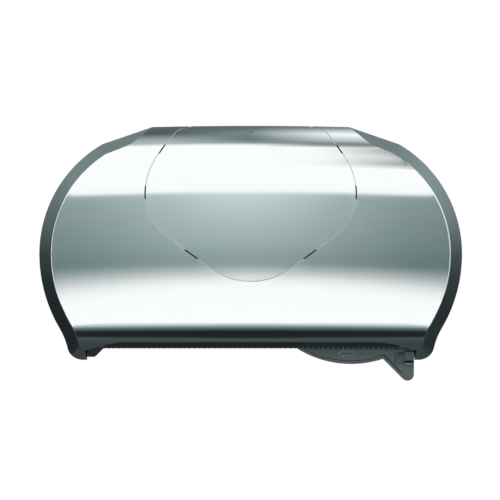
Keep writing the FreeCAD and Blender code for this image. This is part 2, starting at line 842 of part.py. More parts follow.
def make_front_cover():
    cover = cover_form("cover_shell", ZERO, crease=dim.crease_round, lip=dim.lip_round)
    cavity = cover_form("cover_cavity", dim.cover_wall)
    rib_length = dim.cover_depth + dim.cut_spare - dim.rib_depth
    ribs = Drawing(cavity, "cover_ribs", "XZ_Plane", dim.rib_depth)
    for side in SIDES.values():
        for place in (1, 2):
            middle = side * place * dim.rib_x
            ribs.box(middle - dim.rib_thick / 2, middle + dim.rib_thick / 2, -dim.lip_drop, dim.top_height)
    pocket(cavity, ribs, rib_length)
    subtract(cover, "cover_hollow", cavity)

    floor_low = -(dim.foot_drop + dim.cut_spare)
    floor_high = dim.cover_wall - dim.lip_drop + dim.lip_round
    boxed_cut(cover, "lip_back", "XZ_Plane", ZERO, (-dim.arch_half, dim.arch_half, floor_low, floor_high),
              dim.lip_depth)
    for name, side in SIDES.items():
        add_knuckle(cover, name, side)
    add_lock_seat(cover)
    doc.recompute()

    skins = {}
    for name, depth in (("groove", dim.groove_depth), ("slit", dim.slit_depth)):
        skins[name] = joined("Part::Cut", f"{name}_skin", cover_form(f"{name}_whole", ZERO),
                             cover_form(f"{name}_core", depth))
    line = joined("Part::Common", "panel_line", panel_ring("line_ring", dim.groove_width), skins["groove"])
    bands = new_body("slit_bands")
    slits = Drawing(bands, "slit_rows", "YZ_Plane", -dim.half_width)
    rows = [
        (dim.panel_widest - dim.lower_slit_drop, dim.lower_slit_length),
        (dim.panel_widest - dim.side_slit_drop, dim.side_slit_length),
        (dim.panel_widest + dim.upper_slit_rise, dim.upper_slit_length),
    ]
    for low, length in rows:
        slits.box(-(dim.cover_depth + dim.cut_spare), -dim.cover_depth / 2, low, low + length)
    pad(bands, slits, dim.cover_width)
    walls = joined("Part::Common", "slit_walls", panel_ring("slit_ring", dim.slit_width), bands)
    slots = joined("Part::Common", "panel_slits", walls, skins["slit"])
    scored = joined("Part::Cut", "scored_cover", cover, line)
    return joined("Part::Cut", "front_cover", scored, slots)


def joined(kind, label, base, tool):
    item = doc.addObject(kind, label)
    item.Label = label
    item.Base = base
    item.Tool = tool
    return item


def add_knuckle(cover, name, side):
    """A hinge knuckle inside a foot, and the foot's back corner rounded about the hinge line."""
    start = dim.cheek_outer + dim.knuckle_gap
    centre = [(-dim.hinge_depth, -dim.hinge_drop)]
    offset = start if side > 0 else -(start + dim.knuckle_length)
    rods(cover, f"{name}_knuckle", "YZ_Plane", offset, centre, dim.knuckle_radius, dim.knuckle_length)
    bore = dim.pin_in_knuckle + dim.pin_end_gap
    offset = start if side > 0 else -(start + bore)
    rods(cover, f"{name}_pin_bore", "YZ_Plane", offset, centre,
         dim.hinge_pin_radius + dim.hinge_fit, bore, cut=True)

    swing = dim.hinge_depth - dim.hinge_wall_gap
    corner = Drawing(cover, f"{name}_heel", "YZ_Plane", ZERO if side > 0 else -dim.half_width)
    low = -(dim.foot_drop + dim.cut_spare)
    corner.loop([
        (dim.cut_spare, low),
        (dim.cut_spare, -dim.hinge_drop),
        (-dim.hinge_wall_gap, -dim.hinge_drop),
        (-dim.hinge_depth, -(dim.hinge_drop + swing), -dim.hinge_depth, -dim.hinge_drop, "right"),
        (-dim.hinge_depth, low),
    ])
    pocket(cover, corner, dim.half_width)


def add_lock_seat(cover):
    """A boss under the sloping top with a blind seat for the lock and a small hole for its key."""
    centre = [(ZERO, -dim.lock_depth)]
    fall = (dim.lock_depth + dim.lock_boss_radius) * tangent(dim.top_slope)
    top = dim.top_height - fall - dim.cover_wall / 2
    low = dim.lock_boss_low
    rods(cover, "lock_boss", "XY_Plane", low, centre, dim.lock_boss_radius, top - low)
    rods(cover, "lock_hole", "XY_Plane", low - dim.cut_spare, centre,
         dim.lock_barrel_radius + dim.lock_fit, dim.lock_boss_height + dim.cut_spare, cut=True)
    rods(cover, "key_hole", "XY_Plane", low, centre, dim.key_hole_radius, dim.cover_depth, cut=True)


# Lock


def make_lock_body():
    """A barrel that screws up into the blind seat."""
    body = new_body("lock_body")
    length = dim.lock_barrel_length
    rods(body, "lock_barrel", "XY_Plane", dim.lock_body_low, CENTRE, dim.lock_barrel_radius, length)
    bore = dim.plug_radius + dim.lock_fit
    rods(body, "lock_bore", "XY_Plane", dim.lock_body_low, CENTRE, bore, length, cut=True)
    place_body(body, depth=dim.lock_depth)
    return body


def make_lock_nut():
    body = new_body("lock_nut")
    low = dim.lock_boss_low - dim.lock_nut_thick
    rods(body, "nut_disc", "XY_Plane", low, CENTRE, dim.lock_nut_radius, dim.lock_nut_thick)
    rods(body, "nut_bore", "XY_Plane", low, CENTRE, dim.lock_barrel_radius, dim.lock_nut_thick, cut=True)
    place_body(body, depth=dim.lock_depth)
    return body


def make_lock_plug():
    body = new_body("lock_plug")
    top = dim.lock_seat - dim.plug_play
    rods(body, "plug_barrel", "XY_Plane", dim.cam_top, CENTRE, dim.plug_radius, top - dim.cam_top)
    wide = dim.key_slot_width / 2
    long = dim.key_slot_length / 2
    slot = dim.key_slot_depth
    boxed_cut(body, "key_slot", "XY_Plane", top - slot, (-wide, wide, -long, long), slot)
    rods(body, "plug_thread", "XY_Plane", dim.cam_top, CENTRE, dim.cam_screw_radius,
         dim.cam_screw_length - dim.cam_thick, cut=True)
    place_body(body, depth=dim.lock_depth)
    return body


def make_lock_cam():
    """A flat finger that points to the wall when the cover is free to open."""
    body = new_body("lock_cam")
    finger = Drawing(body, "cam_finger", "XY_Plane", dim.cam_low)
    half = dim.cam_width / 2
    finger.loop([
        (half, dim.cam_reach),
        (-half, dim.cam_reach),
        (-half, ZERO),
        (half, ZERO, ZERO, ZERO, "left"),
    ])
    pad(body, finger, dim.cam_thick)
    rods(body, "cam_hole", "XY_Plane", dim.cam_low, CENTRE, dim.cam_screw_radius, dim.cam_thick, cut=True)
    place_body(body, depth=dim.lock_depth)
    return body


def make_cam_screw():
    body = new_body("cam_screw")
    rods(body, "cam_screw_shank", "XY_Plane", dim.cam_low, CENTRE, dim.cam_screw_radius, dim.cam_screw_length)
    head_low = dim.cam_low - dim.cam_screw_head
    rods(body, "cam_screw_cap", "XY_Plane", head_low, CENTRE, dim.cam_screw_head_radius, dim.cam_screw_head)
    place_body(body, depth=dim.lock_depth)
    return body


strike_front = dim.lock_depth + dim.cam_width / 2 + dim.strike_gap + dim.strike_thick
strike_screw_drop = (dim.strike_high - dim.strike_low) / 4
strike_middle = (dim.strike_high + dim.strike_low) / 2
strike_screw_places = [(dim.strike_screw_x, strike_middle + strike_screw_drop),
                       (dim.strike_screw_x, strike_middle - strike_screw_drop)]


def make_lock_strike():
    """A bent strip on the back plate whose front lip stops the turned cam."""
    body = new_body("lock_strike")
    outline = Drawing(body, "strike_bend", "XY_Plane", dim.strike_low)
    foot_end = dim.strike_outer + dim.strike_foot
    outline.loop([
        (dim.strike_outer - dim.strike_thick, -dim.plate_thick),
        (foot_end, -dim.plate_thick),
        (foot_end, -(dim.plate_thick + dim.strike_thick)),
        (dim.strike_outer, -(dim.plate_thick + dim.strike_thick)),
        (dim.strike_outer, -strike_front),
        (dim.strike_inner, -strike_front),
        (dim.strike_inner, dim.strike_thick - strike_front),
        (dim.strike_outer - dim.strike_thick, dim.strike_thick - strike_front),
    ])
    pad(body, outline, dim.strike_high - dim.strike_low)
    rods(body, "strike_holes", "XZ_Plane", dim.plate_thick, strike_screw_places, dim.cheek_screw_radius,
         dim.strike_thick, cut=True)
    return body


def make_screws(label, places, shank, head):
    """Screws or rivets along the depth, each a shank and a round head given as start, end and radius."""
    body = new_body(label)
    for name, (start, end, radius) in (("shanks", shank), ("heads", head)):
        rods(body, f"{label}_{name}", "XZ_Plane", start, places, radius, end - start)
    return body


# Back plate

wall_hole_places = [(across * dim.wall_hole_spacing_x / 2, up * dim.wall_hole_spacing_z / 2)
                    for across in (-1, 1) for up in (-1, 1)]
cheek_middle = (dim.cheek_inner + dim.cheek_outer) / 2
cheek_screw_places = [(side * cheek_middle, -drop) for side in SIDES.values()
                      for drop in (dim.cheek_screw_upper, dim.cheek_screw_lower)]
axle_places = [(side * dim.axle_x, ZERO) for side in SIDES.values()]


def make_back_plate():
    body = new_body("back_plate")
    inset = dim.cover_wall + dim.plate_gap
    outline = Drawing(body, "plate_outline", "XZ_Plane")
    cover_outline(outline, inset, dim.foot_radius - inset)
    pad(body, outline, dim.plate_rim)
    wide = dim.half_width
    boxed_cut(body, "plate_top_cut", "XZ_Plane", ZERO,
              (-wide, wide, dim.plate_top, dim.plate_top + dim.facet_corner_x), dim.plate_rim)
    doc.recompute()
    hollow_tray(body)
    boxed_cut(body, "plate_bottom_cut", "XZ_Plane", ZERO,
              (-wide, wide, -(dim.foot_drop + dim.cut_spare), -dim.plate_drop), dim.plate_rim)

    half_rib = dim.plate_rib_thick / 2
    sides = (-dim.axle_x, dim.axle_x, -half_rib, half_rib)
    boxed(body, "plate_cross_rib", "XZ_Plane", ZERO, sides, dim.plate_rib_depth)
    for name, side in SIDES.items():
        middle = side * dim.plate_rib_x
        sides = (middle - half_rib, middle + half_rib, -dim.plate_drop, dim.plate_top)
        boxed(body, f"plate_{name}_rib", "XZ_Plane", ZERO, sides, dim.plate_rib_depth)
    rods(body, "axle_bosses", "XZ_Plane", ZERO, axle_places, dim.boss_radius, dim.boss_depth)
    rods(body, "axle_holes", "XZ_Plane", ZERO, axle_places, dim.axle_radius, dim.boss_depth, cut=True)
    rods(body, "axle_seats", "XZ_Plane", ZERO, axle_places, dim.axle_head_radius,
         dim.axle_head_gap + dim.axle_head_depth, cut=True)
    rods(body, "wall_holes", "XZ_Plane", ZERO, wall_hole_places, dim.wall_hole_radius, dim.plate_thick,
         cut=True)
    rods(body, "cheek_screw_holes", "XZ_Plane", ZERO, cheek_screw_places, dim.cheek_screw_radius,
         dim.plate_thick, cut=True)
    rods(body, "cheek_screw_seats", "XZ_Plane", ZERO, cheek_screw_places, dim.cheek_screw_head_radius,
         dim.cheek_screw_gap + dim.cheek_screw_head, cut=True)
    rods(body, "strike_screw_holes", "XZ_Plane", ZERO, strike_screw_places, dim.cheek_screw_radius,
         dim.plate_thick, cut=True)
    return body


def hollow_tray(body):
    """Hollows a padded block from its front face, leaving a floor and a rim of one thickness."""
    base = body.Tip
    shape = base.Shape
    front = [f"Face{number}" for number, face in enumerate(shape.Faces, start=1)
             if face.BoundBox.YMax < TOUCH - dim.plate_rim.value]
    tray = body.newObject("PartDesign::Thickness", "plate_tray")
    tray.Base = (base, front)
    tray.Reversed = True
    bind(tray, "Value", dim.plate_thick)
    doc.recompute()


# Axles and hubs

washer_front = dim.boss_depth + dim.washer_thick
hub_back = washer_front + dim.hub_play
flange_front = hub_back + dim.hub_flange_thick


def turned_about_depth(label, x, points):
    """A body turned about a line that runs straight out from the wall; points are radius and depth."""
    body = new_body(label)
    profile = Drawing(body, f"{label}_profile", "XY_Plane")
    profile.loop([(radius, -as_size(depth)) for radius, depth in points])
    revolve(body, profile, (ZERO, ZERO), along="y")
    place_body(body, x=x)
    return body


def make_axle(name, side):
    head = dim.axle_head_gap + dim.axle_head_depth
    return turned_about_depth(f"{name}_axle", side * dim.axle_x, [
        (ZERO, dim.axle_head_gap),
        (dim.axle_head_radius, dim.axle_head_gap),
        (dim.axle_head_radius, head),
        (dim.axle_radius, head),
        (dim.axle_radius, dim.axle_length),
        (ZERO, dim.axle_length),
    ])


def make_washer(name, side):
    bore = dim.axle_radius + dim.hub_fit
    return turned_about_depth(f"{name}_thrust_washer", side * dim.axle_x, [
        (bore, dim.boss_depth),
        (dim.washer_radius, dim.boss_depth),
        (dim.washer_radius, washer_front),
        (bore, washer_front),
    ])


def make_cap(name, side):
    back = dim.hub_core_front + dim.hub_play
    inner = dim.axle_length
    return turned_about_depth(f"{name}_axle_cap", side * dim.axle_x, [
        (dim.axle_radius, back),
        (dim.cap_radius, back),
        (dim.cap_radius, back + dim.cap_thick),
        (ZERO, back + dim.cap_thick),
        (ZERO, inner),
        (dim.axle_radius, inner),
    ])


def make_hub(name, side):
    """A spool with an inner sleeve on the axle, a web and grip ribs round its outside."""
    bore = dim.axle_radius + dim.hub_fit
    inside = dim.hub_radius - dim.hub_wall
    web = dim.hub_web_depth
    body = turned_about_depth(f"{name}_hub", side * dim.axle_x, [
        (bore, hub_back),
        (dim.hub_core_radius, hub_back),
        (dim.hub_core_radius, web),
        (inside, web),
        (inside, hub_back),
        (dim.hub_radius, hub_back),
        (dim.hub_radius, dim.hub_front),
        (inside, dim.hub_front),
        (inside, web + dim.hub_wall),
        (dim.hub_core_radius, web + dim.hub_wall),
        (dim.hub_core_radius, dim.hub_core_front),
        (bore, dim.hub_core_front),
    ])
    half = dim.hub_rib_width / 2
    sides = (-half, half, inside + dim.hub_wall / 2, dim.hub_radius + dim.hub_rib_height)
    rib = boxed(body, f"{name}_hub_rib", "XZ_Plane", flange_front, sides, dim.hub_front - flange_front)
    axis = [item for item in body.Origin.OriginFeatures if item.Role == "Y_Axis"]
    ring = body.newObject("PartDesign::PolarPattern", f"{name}_hub_ribs")
    ring.Originals = [rib]
    ring.Axis = (axis[0], [""])
    ring.Angle = 360
    bind(ring, "Occurrences", dim.hub_rib_count)
    body.Tip = ring
    return body


def make_hub_flange(name, side):
    """A disc on the back of the spool that keeps a roll off the plate."""
    return turned_about_depth(f"{name}_hub_flange", side * dim.axle_x, [
        (dim.hub_radius, hub_back),
        (dim.hub_flange_radius, hub_back),
        (dim.hub_flange_radius, flange_front),
        (dim.hub_radius, flange_front),
    ])


# Cheeks and hinge pins


def make_cheek(name, side):
    """A U-shaped bracket: back block on the plate, low arm under the roll, front wall for the rail."""
    body = new_body(f"{name}_cheek")
    start = dim.cheek_inner if side > 0 else -dim.cheek_outer
    profile = Drawing(body, f"{name}_cheek_profile", "YZ_Plane", start)
    front_back = dim.rail_back - dim.cheek_front_thick
    profile.loop([
        (-dim.plate_thick, -dim.cheek_drop),
        (-dim.plate_thick, -dim.cheek_back_top),
        (-dim.cheek_back_depth, -dim.cheek_back_top),
        (-dim.cheek_back_depth, -dim.arm_top),
        (-front_back, -dim.arm_top),
        (-front_back, -dim.rail_top),
        (-dim.rail_back, -dim.rail_top),
        (-dim.rail_back, -dim.cheek_drop),
    ])
    pad(body, profile, dim.cheek_outer - dim.cheek_inner)
    corner = Drawing(body, f"{name}_cheek_slant", "XZ_Plane")
    corner.loop([
        (side * dim.cheek_inner, -dim.cheek_drop),
        (side * (dim.cheek_inner + dim.cheek_corner), -dim.cheek_drop),
        (side * dim.cheek_inner, dim.cheek_corner - dim.cheek_drop),
    ])
    pocket(body, corner, dim.rail_back)
    bore = dim.cheek_outer - dim.pin_in_cheek
    offset = bore if side > 0 else -dim.cheek_outer
    rods(body, f"{name}_cheek_bore", "YZ_Plane", offset, [(-dim.hinge_depth, -dim.hinge_drop)],
         dim.hinge_pin_radius, dim.pin_in_cheek, cut=True)
    places = [place for place in cheek_screw_places if place[0].value * side > 0]
    rods(body, f"{name}_cheek_threads", "XZ_Plane", dim.plate_thick, places, dim.cheek_screw_radius,
         dim.cheek_screw_reach - dim.plate_thick, cut=True)
    places = [place for place in rail_screw_places if place[0].value * side > 0]
    rods(body, f"{name}_cheek_rail_holes", "XZ_Plane", front_back, places, dim.rail_screw_radius,
         dim.cheek_front_thick, cut=True)
    return body


def make_hinge_pin(name, side):
    body = new_body(f"{name}_hinge_pin")
    length = dim.pin_in_cheek + dim.knuckle_gap + dim.pin_in_knuckle
    start = dim.cheek_outer - dim.pin_in_cheek
    offset = start if side > 0 else -(start + length)
    rods(body, f"{name}_pin_rod", "YZ_Plane", offset, [(-dim.hinge_depth, -dim.hinge_drop)],
         dim.hinge_pin_radius, length)
    return body


# Track rail and tear bar

rail_screw_places = [(side * cheek_middle, -drop) for side in SIDES.values()
                     for drop in (dim.rail_screw_upper, dim.rail_screw_lower)]
slot_back = dim.rail_back + dim.rail_wall
slot_front = slot_back + dim.rail_slot
rail_front = slot_front + dim.rail_wall
rivet_places = [(count * dim.rivet_pitch, -dim.rivet_drop) for count in range(-2, 3)]


def make_track_rail():
    """A channel open downwards, with a ledge inside on which the door hangs."""
    body = new_body("track_rail")
    profile = Drawing(body, "rail_profile", "YZ_Plane", -dim.rail_half)
    roof = -(dim.rail_top + dim.rail_wall)
    ledge = dim.ledge_thick - dim.rail_low
    profile.loop([
        (-dim.rail_back, -dim.rail_low),
        (-dim.rail_back, -dim.rail_top),
        (-rail_front, -dim.rail_top),
        (-rail_front, -dim.rail_low),
        (-slot_front, -dim.rail_low),
        (-slot_front, roof),
        (-slot_back, roof),
        (-slot_back, ledge),
        (-(slot_back + dim.ledge_reach), ledge),
        (-(slot_back + dim.ledge_reach), -dim.rail_low),
    ])
    pad(body, profile, 2 * dim.rail_half)
    boxed(body, "rail_ends", "XZ_Plane", dim.rail_back,
          (-dim.cheek_outer, dim.cheek_outer, -dim.rail_low, -dim.rail_top), dim.rail_wall)
    rods(body, "rail_screw_holes", "XZ_Plane", dim.rail_back, rail_screw_places, dim.rail_screw_radius,
         dim.rail_wall, cut=True)
    rods(body, "rail_rivet_holes", "XZ_Plane", slot_front, rivet_places, dim.rivet_radius, dim.rail_wall,
         cut=True)
    return body


def make_tear_bar():
    body = new_body("tear_bar")
    sides = (-dim.rail_half, dim.rail_half, -dim.tear_tip, -dim.tear_top)
    boxed(body, "tear_strip", "XZ_Plane", rail_front, sides, dim.tear_thick)
    notch = Drawing(body, "tear_notch", "XZ_Plane", rail_front)
    left = -dim.rail_half
    notch.loop([
        (left, -dim.tear_tip),
        (left + dim.tooth_pitch, -dim.tear_tip),
        (left + dim.tooth_pitch / 2, dim.tooth_depth - dim.tear_tip),
    ])
    cut = pocket(body, notch, dim.tear_thick)
    rods(body, "tear_rivet_holes", "XZ_Plane", rail_front, rivet_places, dim.rivet_radius, dim.tear_thick,
         cut=True)
    axis = [item for item in body.Origin.OriginFeatures if item.Role == "X_Axis"]
    row = body.newObject("PartDesign::LinearPattern", "tear_teeth")
    row.Originals = [cut]
    row.Direction = (axis[0], [""])
    teeth = math.floor(2 * dim.rail_half.value / dim.tooth_pitch.value)
    bind(row, "Length", (teeth - 1) * dim.tooth_pitch)
    row.Occurrences = teeth
    body.Tip = row
    return body


# Sliding door

door_back = slot_back + dim.ledge_reach + dim.door_play
door_front = door_back + dim.door_thick
door_radius = dim.roll_diameter / 2 + dim.door_clearance
bead_start = 2 * dim.axle_x - dim.bead_end
bead_low = dim.ledge_thick - dim.rail_low + dim.door_play


def door_outline(drawing, inset, top, neck):
    """The door seen from the front: an arc under one roll and a slanted finger tab on its right."""
    radius = door_radius - inset
    tip = dim.tab_tip_radius - inset
    right = dim.tab_right - inset
    tip_x = dim.tab_right - dim.tab_tip_radius
    tip_z = dim.tab_tip_radius - dim.tab_drop
    down = cosine(dim.tab_angle)
    across = sine(dim.tab_angle)
    reach = tip + (dim.axle_x - tip_x) * across - tip_z * down
    run = root(radius * radius - reach * reach)
    notch = (dim.axle_x - reach * across + run * down, -(reach * down) - run * across)
    left_drop = dim.rail_low if neck else top
    left_x = dim.axle_x - root(radius * radius - left_drop * left_drop)
    if neck:
        steps = [
            (left_x, -top),
            (dim.door_neck_x, -top),
            (dim.door_neck_x, -dim.door_neck_drop),
            (right, -dim.door_neck_drop),
        ]
    else:
        steps = [(right, -top)]
    steps += [
        (right, tip_z),
        (tip_x - tip * across, tip_z - tip * down, tip_x, tip_z, "right"),
        notch,
        (left_x, -left_drop, dim.axle_x, ZERO, "right"),
    ]
    drawing.loop(steps)


def make_roll_door():
    body = new_body("roll_door")
    plate = Drawing(body, "door_plate", "XZ_Plane", door_back)
    door_outline(plate, ZERO, dim.door_top, neck=True)
    pad(body, plate, dim.door_thick)
    face = Drawing(body, "door_face", "XZ_Plane", door_front)
    door_outline(face, dim.face_inset, dim.face_top, neck=False)
    pad(body, face, dim.face_rise)
    bead_depth = slot_back + dim.door_play
    boxed(body, "door_bead", "XZ_Plane", bead_depth,
          (bead_start, dim.bead_end, bead_low, bead_low + dim.bead_height), door_back - bead_depth)
    add_arrow(body)
    window = (dim.latch_left, dim.tab_right, -dim.latch_drop, -dim.latch_top)
    boxed_cut(body, "latch_window", "XZ_Plane", door_back, window, dim.door_thick + dim.face_rise)
    curl_tab(body)
    return body


def curl_tab(body):
    """The finger tab's face rolls back towards its right edge."""
    front = door_front + dim.face_rise
    radius = dim.tab_curl_radius
    left = dim.tab_right - dim.tab_curl_width
    right = dim.tab_right + dim.cut_spare
    reach = right - left
    fall = radius - root(radius * radius - reach * reach)
    curl = Drawing(body, "tab_curl", "XY_Plane", -dim.tab_drop)
    curl.loop([
        (left, -front),
        (right, fall - front, left, radius - front, "left"),
        (right, -(front + dim.cut_spare)),
        (left, -(front + dim.cut_spare)),
    ])
    pocket(body, curl, dim.tab_drop - dim.rail_low)


def add_arrow(body):
    """A raised outline of an arrow that points the way the door slides."""
    for name, inset in (("arrow_outside", ZERO), ("arrow_inside", dim.arrow_line)):
        drawing = Drawing(body, name, "XZ_Plane", door_front + dim.face_rise)
        tip = dim.arrow_x + inset * 2
        neck = dim.arrow_x + dim.arrow_head - inset
        end = dim.arrow_x + dim.arrow_length - inset
        head = dim.arrow_half - inset * 2
        shaft = dim.arrow_shaft_half - inset
        middle = -dim.arrow_drop
        drawing.loop([
            (tip, middle),
            (neck, middle + head),
            (neck, middle + shaft),
            (end, middle + shaft),
            (end, middle - shaft),
            (neck, middle - shaft),
            (neck, middle - head),
        ])
        if name == "arrow_outside":
            pad(body, drawing, dim.arrow_rise)
        else:
            pocket(body, drawing, dim.arrow_rise)


def make_door_latch():
    """A springy leaf with a rounded nose at its free end, let into the finger tab."""
    body = new_body("door_latch")
    gap = dim.latch_gap
    leaf_back = (door_back + door_front - dim.latch_leaf) / 2
    left = dim.latch_left + gap
    profile = Drawing(body, "latch_profile", "XY_Plane", gap - dim.latch_drop)
    nose = dim.latch_nose_round
    nose_front = door_front + dim.face_rise + dim.latch_nose_rise
    profile.loop([
        (left, -leaf_back),
        (left, -(leaf_back + dim.latch_leaf)),
        (dim.latch_nose_x, -(leaf_back + dim.latch_leaf)),
        (dim.latch_nose_x, nose - nose_front),
        (dim.latch_nose_x + nose, -nose_front, dim.latch_nose_x + nose, nose - nose_front, "left"),
        (dim.tab_right - nose, -nose_front),
        (dim.tab_right, nose - nose_front, dim.tab_right - nose, nose - nose_front, "left"),
        (dim.tab_right, -door_back),
        (dim.latch_nose_x, -door_back),
        (dim.latch_nose_x, -leaf_back),
    ])
    pad(body, profile, dim.latch_drop - dim.latch_top - 2 * gap)
    return body


def make_door_runners():
    """Smooth pads on the door's front that glide along the channel's front wall."""
    body = new_body("door_runners")
    pads = Drawing(body, "runner_pads", "XZ_Plane", door_front)
    high = -dim.runner_drop
    for left in (bead_start, dim.bead_end - dim.runner_length):
        pads.box(left, left + dim.runner_length, high - dim.runner_height, high)
    pad(body, pads, slot_front - dim.door_play - door_front)
    return body


def make_door_bumpers():
    """Rubber stops at both ends of the channel, in line with the door's bead."""
    body = new_body("door_bumpers")
    blocks = Drawing(body, "bumper_blocks", "XZ_Plane", slot_back)
    for side in SIDES.values():
        inner = side * (dim.bead_end + dim.door_play)
        outer = side * dim.rail_half
        left, right = (inner, outer) if side > 0 else (outer, inner)
        blocks.box(left, right, bead_low, bead_low + dim.bumper_height)
    pad(body, blocks, dim.ledge_reach)
    return body


# The whole object

parts = [
    make_back_plate(),
    make_track_rail(),
    make_tear_bar(),
    make_front_cover(),
    make_lock_body(),
    make_lock_nut(),
    make_lock_plug(),
    make_lock_cam(),
    make_cam_screw(),
    make_lock_strike(),
    make_roll_door(),
    make_door_latch(),
    make_door_runners(),
    make_door_bumpers(),
]
for name, side in SIDES.items():
    parts += [
        make_axle(name, side),
        make_washer(name, side),
        make_hub(name, side),
        make_hub_flange(name, side),
        make_cap(name, side),
        make_cheek(name, side),
        make_hinge_pin(name, side),
    ]
screw_seat = dim.cheek_screw_gap + dim.cheek_screw_head
strike_face = dim.plate_thick + dim.strike_thick
rail_face = dim.rail_back - dim.cheek_front_thick
rivet_face = rail_front + dim.tear_thick
parts += [
    make_screws("cheek_screws", cheek_screw_places,
                (screw_seat, dim.cheek_screw_reach, dim.cheek_screw_radius),
                (dim.cheek_screw_gap, screw_seat, dim.cheek_screw_head_radius)),
    make_screws("strike_screws", strike_screw_places,
                (dim.cheek_screw_gap, strike_face, dim.cheek_screw_radius),
                (strike_face, strike_face + dim.cheek_screw_head, dim.cheek_screw_head_radius)),
    make_screws("rail_screws", rail_screw_places,
                (rail_face, slot_back, dim.rail_screw_radius),
                (rail_face - dim.rail_screw_head, rail_face, dim.rail_screw_head_radius)),
    make_screws("tear_bar_rivets", rivet_places,
                (slot_front, rivet_face, dim.rivet_radius),
                (rivet_face, rivet_face + dim.rivet_head, dim.rivet_head_radius)),
]

doc.recompute()
failed = [item.Label for item in doc.Objects if "Invalid" in item.State or "Error" in item.State]
if failed:
    raise SystemExit(f"these failed: {failed}")
os.makedirs("parts", exist_ok=True)
for part in parts:
    if part.Shape.isNull() or not part.Shape.isValid():
        raise SystemExit(f"{part.Label} has no sound shape")
for part in parts:
    part.Shape.exportStep(f"parts/{part.Label}.step")
    print(part.Label, len(part.Shape.Solids), round(part.Shape.Volume))
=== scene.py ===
# %% [markdown]
# # A twin-roll toilet paper dispenser
# The solids of the dispenser arrive as a fixed frame: every piece already stands where it belongs,
# in metres, with X to the right, Y into the wall and Z up. They could be modelled again in Blender,
# but then sizes would drift, so this lesson keeps them and gives each one its finish, its light and
# the small details that make it look like a thing on a washroom wall.

# %% Load the frame
import bpy
import math
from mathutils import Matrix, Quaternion, Vector
from mathutils.bvhtree import BVHTree
from mathutils.kdtree import KDTree


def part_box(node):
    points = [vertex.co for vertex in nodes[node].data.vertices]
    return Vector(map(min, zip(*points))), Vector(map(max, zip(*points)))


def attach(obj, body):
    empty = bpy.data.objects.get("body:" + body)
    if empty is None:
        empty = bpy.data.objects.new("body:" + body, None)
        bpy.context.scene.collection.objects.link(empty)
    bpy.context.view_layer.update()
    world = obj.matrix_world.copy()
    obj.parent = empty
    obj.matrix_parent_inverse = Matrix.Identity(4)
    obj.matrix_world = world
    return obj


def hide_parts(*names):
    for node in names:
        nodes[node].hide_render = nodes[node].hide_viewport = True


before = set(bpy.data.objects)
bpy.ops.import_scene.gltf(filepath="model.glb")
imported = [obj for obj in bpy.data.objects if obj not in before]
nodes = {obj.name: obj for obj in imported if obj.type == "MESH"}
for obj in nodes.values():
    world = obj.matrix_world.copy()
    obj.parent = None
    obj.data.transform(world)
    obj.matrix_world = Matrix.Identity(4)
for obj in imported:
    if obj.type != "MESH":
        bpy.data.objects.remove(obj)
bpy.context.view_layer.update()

# %% [markdown]
# ## The view
# The dispenser is seen straight from the front, and its two sides look alike, so the lens was long.
# An orthographic camera would do for this one picture. A long lens far away is chosen instead,
# because it still gives a natural picture when the camera walks round the object.

# %% Camera
scene = bpy.context.scene
scene.view_settings.view_transform = "Standard"
picture_width = 0.574
picture_x, picture_z = -0.0008, 0.0141
camera_distance = 8.0
middle_depth = 0.06
sensor_width = 36
bpy.ops.object.select_all(action="DESELECT")
bpy.ops.object.camera_add(
    location=(picture_x, -camera_distance, picture_z), rotation=(math.pi / 2, 0, 0))
camera = bpy.context.object
camera.name = "front_camera"
camera.data.sensor_width = sensor_width
camera.data.lens = sensor_width * (camera_distance - middle_depth) / picture_width
camera.data.clip_end = 100
scene.camera = camera
print("lens:", round(camera.data.lens, 1), "mm")

# %% [markdown]
# ## The room
# Bright metal shows whatever stands round it, so the studio is part of the look. The room is plain
# white. White could also come from stronger lamps, but those would bleach the dark plastic, so the
# room itself is white to the camera and in reflections, and its light on the object is kept at a
# plain level.

# %% White room
WHITE = (1, 1, 1, 1)
room_tone, room_strength = (0.95, 1.0, 1.0, 1), 0.62
world = bpy.data.worlds.new("white_room")
scene.world = world
world.use_nodes = True
sky = world.node_tree.nodes
sky.clear()
path = sky.new("ShaderNodeLightPath")
seen = sky.new("ShaderNodeMath")
seen.operation = "MAXIMUM"
seen_through = sky.new("ShaderNodeMath")
seen_through.operation = "MAXIMUM"
room_light = sky.new("ShaderNodeBackground")
room_light.inputs["Color"].default_value = room_tone
room_light.inputs["Strength"].default_value = room_strength
backdrop = sky.new("ShaderNodeBackground")
backdrop.inputs["Color"].default_value = WHITE
backdrop.inputs["Strength"].default_value = 1.0
choose = sky.new("ShaderNodeMixShader")
out = sky.new("ShaderNodeOutputWorld")
join = world.node_tree.links.new
join(path.outputs["Is Camera Ray"], seen.inputs[0])
join(path.outputs["Is Glossy Ray"], seen.inputs[1])
join(seen.outputs[0], seen_through.inputs[0])
join(path.outputs["Is Transmission Ray"], seen_through.inputs[1])
join(seen_through.outputs[0], choose.inputs["Fac"])
join(room_light.outputs[0], choose.inputs[1])
join(backdrop.outputs[0], choose.inputs[2])
join(choose.outputs[0], out.inputs["Surface"])
print("room:", world.name)

# %% [markdown]
# ## The floor
# The floor lies well below, because the dispenser hangs on a wall, and it keeps the object's soft
# shadow. In the bright cover a plain pale floor would show as a grey field. It could be hidden from
# reflections, but then they would pass through it, so it glows white to them instead.

# %% Pale floor
def plain_material(name):
    """A new node material and its Principled shader."""
    material = bpy.data.materials.new(name)
    material.use_nodes = True
    return material, material.node_tree.nodes["Principled BSDF"]


